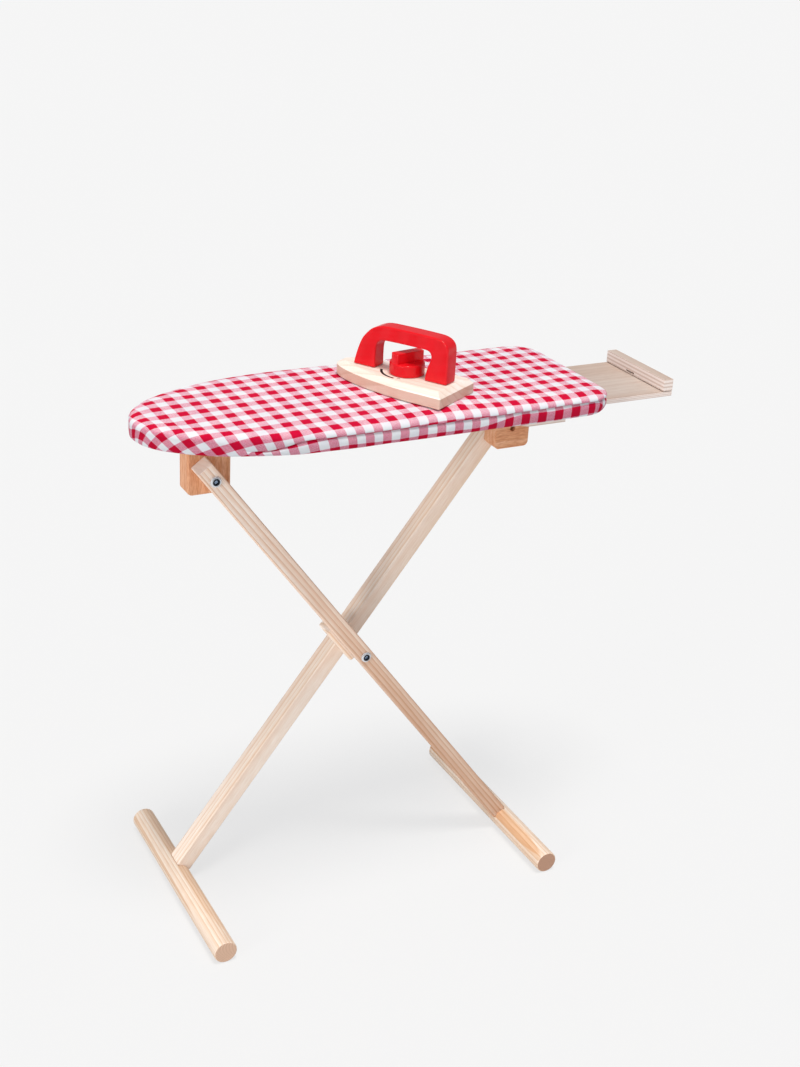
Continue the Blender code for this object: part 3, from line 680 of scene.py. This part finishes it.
cover = clothPieces("gingham_cover", coverSection, True, False)
addModifier(cover, "SOLIDIFY", thickness=coverSizes["thickness"], offset=-1.0, use_even_offset=True)
ginghamLook = {
    "wobble": 0.035, "threads": 26.0, "contrast": 0.16,
    # lit colours of the cloth for the top, and a copy of them in painted shade for the sides
    "top": [(0.04, "E7E6E8"), (0.30, "EAD9E0"), (0.5, "EDC1CF"), (0.72, "D23C62"), (0.96, "CC0A36")],
    "sides": [(0.04, "D9DDE0"), (0.30, "D5B2BE"), (0.5, "C97C92"), (0.72, "BE3058"), (0.96, "B80A30")],
}
finishPiece(cover, ginghamSurface("yarn-dyed gingham cotton", ginghamLook), "board", "gingham", "board_cover")

padSizes = {"floor": 0.0063, "skin": 0.0014}


def padSection(x, y):
    points = [(0.0050, padSizes["floor"], 0.0), (0.0046, padSizes["floor"] + 0.0008, 0.0)]
    for inset, height in coverCrown[2:]:
        points.append((max(inset, 0.0) + 0.0042, height - padSizes["skin"] - 0.0006, 0.0))
    return points


pad = clothPieces("foam_pad", padSection, False, True)
finishPiece(pad, foamSurface("polyurethane foam"), "board", "foam", "board_pad")
print("cover and pad made")

# Blocks, bearer and tray
blockSizes = {"edge": 0.0024, "tailCorner": 0.0055, "tailChamfer": 0.0042, "topChamfer": 0.0055, "bore": 0.00325}
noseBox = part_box("nose_block")
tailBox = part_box("tail_block")


def boxOf(name, node):
    low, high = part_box(node)
    size = [b - a for a, b in zip(low, high)]
    centre = [(a + b) / 2 for a, b in zip(low, high)]
    return boxAt(name, size, centre)


noseBlock = boxOf("beech_nose_block", "nose_block")
only(noseBlock)
bpy.ops.object.mode_set(mode="EDIT")
lowZ = noseBox[0][2]
pick(noseBlock, "EDGE", lambda e: runsAlong(e, 1) and middle(e).z < lowZ + 0.001)
bpy.ops.mesh.bevel(offset=0.0030, segments=1, affect="EDGES")
bpy.ops.object.mode_set(mode="OBJECT")
softEdges(noseBlock, blockSizes["edge"], 4)
smoothSurface(noseBlock)
finishPiece(noseBlock, woodSurface("steamed beech nose block", beechLook, (0, 0, 0), (0.24, 0.03, -0.5))[0],
            "board", "beech", "nose_block")

tailBlock = boxOf("beech_tail_block", "tail_block")
only(tailBlock)
bpy.ops.object.mode_set(mode="EDIT")
tailX = (tailBox[0][0] + tailBox[1][0]) / 2
pick(tailBlock, "EDGE", lambda e: runsAlong(e, 1) and middle(e).z < tailBox[0][2] + 0.001 and middle(e).x > tailX)
bpy.ops.mesh.bevel(offset=blockSizes["tailCorner"], segments=5, affect="EDGES")
pick(tailBlock, "EDGE", lambda e: runsAlong(e, 1) and middle(e).z < tailBox[0][2] + 0.001
     and middle(e).x < tailX - 0.015)
bpy.ops.mesh.bevel(offset=blockSizes["tailChamfer"], segments=1, affect="EDGES")
pick(tailBlock, "EDGE", lambda e: runsAlong(e, 1) and middle(e).z > tailBox[1][2] - 0.001 and middle(e).x > tailX)
bpy.ops.mesh.bevel(offset=blockSizes["topChamfer"], segments=1, affect="EDGES")
bpy.ops.object.mode_set(mode="OBJECT")
softEdges(tailBlock, blockSizes["edge"] * 0.6, 3, 50)
crossing = boardFrame["crossing"]
arm = boardFrame["tailArm"]
pivot = (crossing[0] + arm * math.sin(lean), 0.0, crossing[2] + arm * math.cos(lean))
cutAway(tailBlock, rodAt("bore", blockSizes["bore"], 0.030, (pivot[0], -0.006, pivot[2]), 32))
smoothSurface(tailBlock)
finishPiece(tailBlock, woodSurface("steamed beech tail block", beechLook, (0, math.pi / 2, 0), (-0.5, 0.02, 0.1))[0],
            "board", "beech", "tail_block")

bearer = boxOf("ply_tail_bearer", "tail_bearer")
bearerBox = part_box("tail_bearer")
only(bearer)
bpy.ops.object.mode_set(mode="EDIT")
pick(bearer, "EDGE", lambda e: runsAlong(e, 2) and middle(e).x < bearerBox[0][0] + 0.001
     and middle(e).y < bearerBox[0][1] + 0.001)
bpy.ops.mesh.bevel(offset=0.0095, segments=1, affect="EDGES")
bpy.ops.object.mode_set(mode="OBJECT")
softEdges(bearer, 0.0008, 2)
smoothSurface(bearer)
trayPly = plySurface("birch plywood tray", (0, math.pi / 2, 0), 0.00185, (-0.5, 0.30, 0.0))
finishPiece(bearer, plySurface("birch plywood bearer", (0, math.pi / 2, 0), 0.0038, (-0.5, 0.05, 0.0)),
            "board", "birch_ply", "tail_bearer")

tray = boxOf("ply_tray_plate", "tray_plate")
softEdges(tray, 0.0009, 2)
smoothSurface(tray)
finishPiece(tray, trayPly, "board", "birch_ply", "tray_plate")

lip = boxOf("ply_tray_lip", "tray_lip")
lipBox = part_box("tray_lip")
slitPlace = (lipBox[0][0], 0.0005, lipBox[0][2] + 0.0026)
cutAway(lip, boxAt("slit", (0.008, 0.0155, 0.0014), slitPlace))
softEdges(lip, 0.0009, 2, 60)
smoothSurface(lip)
finishPiece(lip, plySurface("birch plywood lip", (math.pi / 2, 0, 0), 0.0042, (0.30, -0.55, 0.0)),
            "board", "birch_ply", "tray_lip")
print("blocks and tray made")

# Legs and feet
legSizes = {
    "width": 0.018, "thickness": 0.022, "top": 0.0175, "seat": 0.0099, "planeY": 0.0233, "edge": 0.0014,
    "spacer": (0.022, 0.024, 0.050), "spacerBelow": 0.009, "spacerAside": -0.0035,
}
footSizes = {"radius": 0.0126, "length": 0.263, "seat": 0.0030, "end": 0.0018, "sides": 96}


def legPiece(name, side, angle, top, pivot):
    length = wholeLeg - legSizes["seat"] + legSizes["top"]
    piece = boxAt(name, (legSizes["width"], legSizes["thickness"], length),
                  (0, side * legSizes["planeY"], top - length / 2))
    softEdges(piece, legSizes["edge"], 3)
    smoothSurface(piece)
    return turnAbout(piece, angle, pivot)


def footPiece(name, side, angle, along, pivot):
    # a dowel with eased ends, and a flat-bottomed seat for the leg
    size = footSizes
    piece = rodAt(name, size["radius"], size["length"], (0, 0, -along), size["sides"])
    softEdges(piece, size["end"], 3, 60)
    seatHeight = size["radius"] * 1.5 - size["seat"] - along
    cutAway(piece, boxAt("seat", (size["radius"] * 3, legSizes["thickness"] + 2 * boardFrame["fitGap"],
                                  size["radius"]), (0, side * legSizes["planeY"], seatHeight)))
    smoothSurface(piece, 25)
    return turnAbout(piece, angle, pivot)


nosePivot = boardFrame["nosePivot"]
legA = legPiece("pine_leg_near", -1, -lean, legSizes["top"], nosePivot)
finishPiece(legA, legSurface("planed pine near leg", (0, lean, 0), (0.012, 0.058, 0.0), nearLegLook, True),
            "leg_a", "pine", "leg_a")
legB = legPiece("pine_leg_far", 1, lean, boardFrame["upperLeg"] + legSizes["top"], crossing)
finishPiece(legB, legSurface("planed pine far leg", (0, -lean, 0), (0.21, -0.095, 0.0), farLegLook, False),
            "leg_b", "pine", "leg_b")

footA = footPiece("pine_foot_near_leg", -1, -lean, wholeLeg, nosePivot)
finishPiece(footA, footSurface("turned pine foot of the near leg", (math.pi / 2, 0, 0), (-0.135, 0.022, 0.0),
                               nearFootLook), "leg_a", "pale_pine", "foot_a")
footB = footPiece("pine_foot_far_leg", 1, lean, boardFrame["lowerLeg"], crossing)
finishPiece(footB, footSurface("turned pine foot of the far leg", (math.pi / 2, 0, 0), (0.262, 0.018, 0.0),
                               farFootLook), "leg_b", "pale_pine", "foot_b")

spacerSize = legSizes["spacer"]
spacer = boxAt("pine_centre_spacer", spacerSize,
               (legSizes["spacerAside"], 0, spacerSize[2] / 2 - legSizes["spacerBelow"] - boardFrame["upperLeg"]))
softEdges(spacer, 0.0024, 3)
smoothSurface(spacer)
turnAbout(spacer, -lean, nosePivot)
finishPiece(spacer, woodSurface("planed pine spacer", farLegLook, (0, lean, 0), (0.05, 0.04, 0.0))[0],
            "leg_a", "pine", "centre_spacer")
print("legs and feet made")

# Bolts, nut and washer
boltSizes = {"radius": 0.0030, "head": 0.0058, "headHeight": 0.0024, "socket": 0.0023, "socketDepth": 0.0015}


def boltPiece(name, node, place, side, length):
    # the head's profile is spun round the bolt's line, and a six-sided socket is cut into it
    size = boltSizes
    profile = [(0.0, size["headHeight"]), (size["head"] * 0.55, size["headHeight"] * 0.97),
               (size["head"] * 0.80, size["headHeight"] * 0.82), (size["head"] * 0.95, size["headHeight"] * 0.52),
               (size["head"], size["headHeight"] * 0.12), (size["head"] * 0.97, 0.0), (size["radius"], 0.0),
               (size["radius"], -length + 0.0006), (size["radius"] - 0.0006, -length), (0.0, -length)]
    mesh = bpy.data.meshes.new(name)
    mesh.from_pydata([(r, side * h, 0) for r, h in profile], [(i, i + 1) for i in range(len(profile) - 1)], [])
    piece = bpy.data.objects.new(name, mesh)
    scene.collection.objects.link(piece)
    only(piece)
    bpy.ops.object.mode_set(mode="EDIT")
    bpy.ops.mesh.select_all(action="SELECT")
    bpy.ops.mesh.spin(steps=48, angle=2 * math.pi, center=(0, 0, 0), axis=(0, 1, 0))
    bpy.ops.mesh.select_all(action="SELECT")
    bpy.ops.mesh.remove_doubles(threshold=0.00001)
    bpy.ops.mesh.normals_make_consistent(inside=False)
    bpy.ops.object.mode_set(mode="OBJECT")
    depth = size["socketDepth"] + 0.002
    centre = side * (size["headHeight"] - size["socketDepth"] + depth / 2)
    cutAway(piece, rodAt("socket", size["socket"], depth, (0, centre, 0), 6))
    smoothSurface(piece, 30)
    piece.data.transform(Matrix.Translation(place))
    body = {"nose_bolt": "board", "centre_bolt": "leg_a", "tail_bolt": "leg_b"}[node]
    return finishPiece(piece, steelSurface("zinc plated " + node.replace("_", " "), place), body, "steel", node)


headSeat = 0.0346
boltPiece("steel_nose_bolt", "nose_bolt", (nosePivot[0], -headSeat, nosePivot[2]), -1, 0.0343)
boltPiece("steel_centre_bolt", "centre_bolt", (crossing[0], -headSeat, crossing[2]), -1, 0.0732)
boltPiece("steel_tail_bolt", "tail_bolt", (pivot[0], headSeat, pivot[2]), 1, 0.0223)

washer = rodAt("steel_centre_washer", 0.0075, 0.0012, (crossing[0], headSeat + 0.0006, crossing[2]), 48)
cutAway(washer, rodAt("washerBore", 0.00325, 0.01, (crossing[0], headSeat, crossing[2]), 32))
softEdges(washer, 0.0002, 2, 60)
smoothSurface(washer)
steel = steelSurface("zinc plated fixings")
finishPiece(washer, steel, "leg_a", "steel", "centre_washer")
nut = rodAt("steel_centre_nut", 0.0055, 0.0050, (crossing[0], headSeat + 0.0015 + 0.0025, crossing[2]), 6)
cutAway(nut, rodAt("nutBore", 0.00325, 0.02, (crossing[0], headSeat, crossing[2]), 32))
softEdges(nut, 0.0004, 2, 50)
smoothSurface(nut)
finishPiece(nut, steel, "leg_a", "steel", "centre_nut")
print("fixings made")

# Toy iron
ironSizes = {
    "place": (-0.0161, -0.0109, 0.56787), "heading": math.radians(120.6),
    "length": 0.143, "width": 0.067, "sideHeight": 0.0112, "slopeHeight": 0.0055, "slopeWidth": 0.0055,
    "footRound": 0.0012, "noseLength": 0.108, "nosePoint": 1.75, "steps": 40,
}
handleSizes = {"length": 0.1105, "height": 0.0460, "thickness": 0.0180, "round": 0.0036, "behindNose": 0.0245}
dialSizes = {"radius": 0.0180, "body": 0.0125, "grip": 0.0105, "gripWidth": 0.0105, "gripRadius": 0.0172,
             "round": 0.0014, "gripRound": 0.0024, "fromHandleNose": 0.0592, "restTurn": math.radians(68)}
ironTurn = Matrix.Translation(ironSizes["place"]) @ Matrix.Rotation(ironSizes["heading"], 4, "Z")
handleNose = ironSizes["length"] / 2 - handleSizes["behindNose"]
handleFoot = ironSizes["sideHeight"] + ironSizes["slopeHeight"] + boardFrame["fitGap"]


def ironOutline(inset):
    size = ironSizes
    half = size["width"] / 2 - inset
    heel = inset - size["length"] / 2
    shoulder = size["length"] / 2 - size["noseLength"]
    reach = size["noseLength"] - inset * size["nosePoint"]
    side = [(heel, -half * share) for share in (0.25, 0.5, 0.75, 1.0)]
    side.append((heel + (shoulder - heel) * 0.5, -half))
    for step in range(size["steps"]):
        turn = math.pi / 2 * step / size["steps"]
        side.append((shoulder + reach * math.sin(turn) ** (2 / size["nosePoint"]),
                     -half * math.cos(turn) ** (2 / size["nosePoint"])))
    return [(heel, 0.0)] + side + [(shoulder + reach, 0.0)] + [(x, -y) for x, y in reversed(side)]


def ringedSolid(name, rings, outline):
    # a filled circle takes the first outline; each extrude is then drawn to the next one
    first = outline(rings[0][0])
    bpy.ops.object.select_all(action="DESELECT")
    bpy.ops.mesh.primitive_circle_add(vertices=len(first), radius=0.03, fill_type="NGON")
    piece = named(name)
    for vert, (x, y) in zip(piece.data.vertices, first):
        vert.co = (x, y, rings[0][1])
    bpy.ops.object.mode_set(mode="EDIT")
    before = first
    for inset, height in rings[1:]:
        pick(piece, "FACE", lambda f: len(f.verts) > 8)
        shape = bmesh.from_edit_mesh(piece.data)
        caps = sorted((f for f in shape.faces if f.select), key=lambda f: f.calc_center_median().z)
        for cap in caps[:-1]:
            cap.select_set(False)
        bmesh.update_edit_mesh(piece.data)
        bpy.ops.mesh.extrude_region_move(TRANSFORM_OT_translate={"value": (0, 0, height)})
        shape = bmesh.from_edit_mesh(piece.data)
        cap = next(f for f in shape.faces if f.select and len(f.verts) > 8)
        target = outline(inset)
        for vert in cap.verts:
            nearest = min(range(len(before)), key=lambda i: math.dist(before[i], vert.co[:2]))
            vert.co = (*target[nearest], height)
        before = target
        bmesh.update_edit_mesh(piece.data)
    bpy.ops.mesh.select_all(action="SELECT")
    bpy.ops.mesh.normals_make_consistent(inside=False)
    bpy.ops.object.mode_set(mode="OBJECT")
    return piece


ironHeight = ironSizes["sideHeight"] + ironSizes["slopeHeight"]
base = ringedSolid("maple_iron_base", [(ironSizes["footRound"], 0.0), (ironSizes["footRound"] * 0.3, 0.0004),
                                       (0.0, ironSizes["footRound"]), (0.0, ironSizes["sideHeight"] - 0.0004),
                                       (0.0004, ironSizes["sideHeight"] + 0.0002),
                                       (ironSizes["slopeWidth"] - 0.0005, ironHeight - 0.0003),
                                       (ironSizes["slopeWidth"] + 0.0004, ironHeight)], ironOutline)
smoothSurface(base, 12)
base.data.transform(ironTurn)
printedMarks = {
    "heading": ironSizes["heading"],
    "centre": (-0.0070, -0.0174),
    "arcs": [("120C0A", 0.0265, 0.0027, math.radians(-38), math.radians(31)),
             ("8E8078", 0.0250, 0.0018, math.radians(37), math.radians(46))],
}
finishPiece(base, mapleSurface("sanded maple iron base", printedMarks), "iron", "maple", "iron_base")

outerShares = ((1.0, 0.0), (1.0, 0.72), (0.985, 0.86), (0.94, 0.955), (0.86, 1.0), (0.38, 1.0), (0.28, 0.977),
               (0.19, 0.89), (0.13, 0.76), (0.08, 0.6), (0.035, 0.32), (0.0, 0.0))
innerShares = ((0.235, 0.0), (0.232, 0.28), (0.238, 0.50), (0.266, 0.630), (0.322, 0.668), (0.755, 0.682),
               (0.80, 0.657), (0.822, 0.585), (0.818, 0.47), (0.795, 0.33), (0.780, 0.18), (0.768, 0.0))


def rounded(points, steps):
    # a smooth line through the points, tight enough that straight runs stay straight
    line = []
    for index in range(len(points) - 1):
        before = Vector(points[max(index - 1, 0)])
        start, end = Vector(points[index]), Vector(points[index + 1])
        after = Vector(points[min(index + 2, len(points) - 1)])
        span = (end - start).length
        startSlope = (end - before).normalized() * span * 0.9
        endSlope = (after - start).normalized() * span * 0.9
        count = steps if span < 0.02 else 2 * steps
        for step in range(count):
            t = step / count
            line.append(start * (2 * t ** 3 - 3 * t ** 2 + 1) + startSlope * (t ** 3 - 2 * t ** 2 + t)
                        + end * (3 * t ** 2 - 2 * t ** 3) + endSlope * (t ** 3 - t ** 2))
    line.append(Vector(points[-1]))
    return line


def handleOutline():
    size = handleSizes
    paths = []
    for shares in (outerShares, innerShares):
        points = [(handleNose - along * size["length"], up * size["height"]) for along, up in shares]
        paths += rounded(points, 4)
    return [(point.x, point.y) for point in paths]


handleLine = handleOutline()
bpy.ops.object.select_all(action="DESELECT")
bpy.ops.mesh.primitive_circle_add(vertices=len(handleLine), radius=0.03, fill_type="NGON")
handle = named("red_iron_handle")
for vert, (x, z) in zip(handle.data.vertices, handleLine):
    vert.co = (x, -handleSizes["thickness"] / 2, handleFoot + z)
bpy.ops.object.mode_set(mode="EDIT")
bpy.ops.mesh.select_all(action="SELECT")
bpy.ops.mesh.extrude_region_move(TRANSFORM_OT_translate={"value": (0, handleSizes["thickness"], 0)})
bpy.ops.mesh.select_all(action="SELECT")
bpy.ops.mesh.normals_make_consistent(inside=False)
bpy.ops.object.mode_set(mode="OBJECT")
softEdges(handle, handleSizes["round"], 4, 60)
smoothSurface(handle, 40)
handle.data.transform(ironTurn)
redPaint = paintSurface("gloss enamel red", ("D80E19", "E01621"))
finishPiece(handle, redPaint, "iron", "red_paint", "iron_handle")

dialCentre = ironTurn @ Vector((handleNose - dialSizes["fromHandleNose"], 0, handleFoot))
dial = rodAt("red_iron_dial", dialSizes["radius"], dialSizes["body"], (0, 0, dialSizes["body"] / 2), 96, "Z")
softEdges(dial, dialSizes["round"], 3)
gripHeight = dialSizes["grip"] + dialSizes["body"] / 2
grip = rodAt("dialGrip", dialSizes["gripRadius"], gripHeight,
             (0, 0, dialSizes["body"] / 2 + gripHeight / 2), 96, "Z")
only(grip)
bpy.ops.object.mode_set(mode="EDIT")
for side in (-1, 1):
    bpy.ops.mesh.select_all(action="SELECT")
    bpy.ops.mesh.bisect(plane_co=(0, side * dialSizes["gripWidth"] / 2, 0), plane_no=(0, side, 0),
                        use_fill=True, clear_outer=True)
bpy.ops.object.mode_set(mode="OBJECT")
softEdges(grip, dialSizes["gripRound"], 4)
cutAway(dial, grip, "UNION")
smoothSurface(dial, 40)
dial.data.transform(Matrix.Translation(dialCentre) @ Matrix.Rotation(ironSizes["heading"] + dialSizes["restTurn"], 4, "Z"))
finishPiece(dial, redPaint, "dial", "red_paint", "iron_dial")
print("toy iron made")

# Finishes of the CAD nodes that stay
keptNodes = {
    "board_panel": plySurface("birch plywood panel", (0, math.pi / 2, 0), 0.0020, (-0.5, 0.35, 0.0)),
    "handle_dowel_nose": woodSurface("maple dowel", mapleLook)[0],
    "handle_dowel_heel": None,
    "dial_pin": None,
}
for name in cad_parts:
    node = bpy.data.objects.get(name)
    if node is None or node.hide_render:
        continue
    if name in keptNodes:
        surface = keptNodes[name] or keptNodes["handle_dowel_nose"]
    else:
        surface = steel
    for materialSlot in node.material_slots:
        materialSlot.material = surface
print("CAD nodes finished")

# Floor, lights and camera
lightSizes = {
    "floorSpan": 60.0, "floorColour": "D9D9D9", "floorSeen": "F7F7F7",
    "world": 0.50, "skyTint": "EEF2F9", "lampTint": (1.0, 0.975, 0.94),
    "key": 2.40, "keyTowards": (0.0, -0.20, 1.0), "keyAngle": 20.0,
    "side": 1.35, "sideTowards": (-1.0, -0.44, 0.24), "sideAngle": 24.0,
    "floorGlow": 0.74, "reflected": 0.35,
}
bpy.ops.object.select_all(action="DESELECT")
bpy.ops.mesh.primitive_plane_add(size=lightSizes["floorSpan"])
floor = named("floor")
floorSurface, floorTree, floorShader = newSurface("matt white paper floor", 0.9, Specular_IOR_Level=0.0)
floorShader.inputs["Base Color"].default_value = linearColour(lightSizes["floorColour"])
# the camera sees the paper a little whiter than the light leaves it, so that the shadow is soft
floorRay = addNode(floorTree, "ShaderNodeLightPath").outputs["Is Camera Ray"]
glow = addNode(floorTree, "ShaderNodeEmission", {"Color": linearColour(lightSizes["floorSeen"])}).outputs[0]
glowShare = calculate(floorTree, "MULTIPLY", floorRay, lightSizes["floorGlow"])
paper = addNode(floorTree, "ShaderNodeMixShader", {0: glowShare, 1: floorShader.outputs[0], 2: glow}).outputs[0]
floorTree.links.new(paper, floorTree.nodes["Material Output"].inputs["Surface"])
floor.data.materials.append(floorSurface)

world = bpy.data.worlds.new("soft studio")
scene.world = world
world.use_nodes = True
worldTree = world.node_tree
sky = worldTree.nodes["Background"]
ray = addNode(worldTree, "ShaderNodeLightPath").outputs
seen = calculate(worldTree, "MAXIMUM", ray["Is Camera Ray"], ray["Is Transmission Ray"])
lit = addNode(worldTree, "ShaderNodeMapRange", {"Value": ray["Is Glossy Ray"], "To Min": lightSizes["world"],
                                                "To Max": lightSizes["reflected"]}).outputs[0]
strength = addNode(worldTree, "ShaderNodeMapRange", {"Value": seen, "To Min": lit, "To Max": 1.0}).outputs[0]
worldTree.links.new(strength, sky.inputs["Strength"])
tint = mixColours(worldTree, seen, lightSizes["skyTint"], lightSizes["floorSeen"])
worldTree.links.new(tint, sky.inputs["Color"])

for name in ("key", "side"):
    lamp = bpy.data.lights.new(name + " light", "SUN")
    lamp.energy = lightSizes[name]
    lamp.color = lightSizes["lampTint"]
    lamp.angle = math.radians(lightSizes[name + "Angle"])
    placed = bpy.data.objects.new(name + " light", lamp)
    towards = Vector(lightSizes[name + "Towards"]).normalized()
    placed.rotation_euler = towards.to_track_quat("Z", "Y").to_euler()
    scene.collection.objects.link(placed)

cameraSizes = {
    "place": (-0.72837, -1.34082, 1.08592), "yaw": 0.50042, "pitch": 0.42456, "roll": 0.0586,
    "focalPixels": 1560.86, "pictureHeight": 1067,
}


def placeCamera():
    size = cameraSizes
    yaw, pitch, roll = size["yaw"], size["pitch"], size["roll"]
    forward = Vector((math.sin(yaw) * math.cos(pitch), math.cos(yaw) * math.cos(pitch), -math.sin(pitch)))
    right = forward.cross(Vector((0, 0, 1))).normalized()
    up = right.cross(forward)
    cameraRight = math.cos(roll) * right + math.sin(roll) * up
    cameraUp = -math.sin(roll) * right + math.cos(roll) * up
    lens = bpy.data.cameras.new("camera")
    lens.sensor_fit = "VERTICAL"
    lens.sensor_height = 36.0
    lens.lens = size["focalPixels"] * 36.0 / size["pictureHeight"]
    lens.clip_end = 200.0
    camera = bpy.data.objects.new("camera", lens)
    turn = Matrix((cameraRight, cameraUp, -forward)).transposed()
    camera.matrix_world = Matrix.Translation(size["place"]) @ turn.to_4x4()
    scene.collection.objects.link(camera)
    scene.camera = camera


placeCamera()
scene.view_settings.view_transform = "Standard"
print("floor, lights and camera placed")
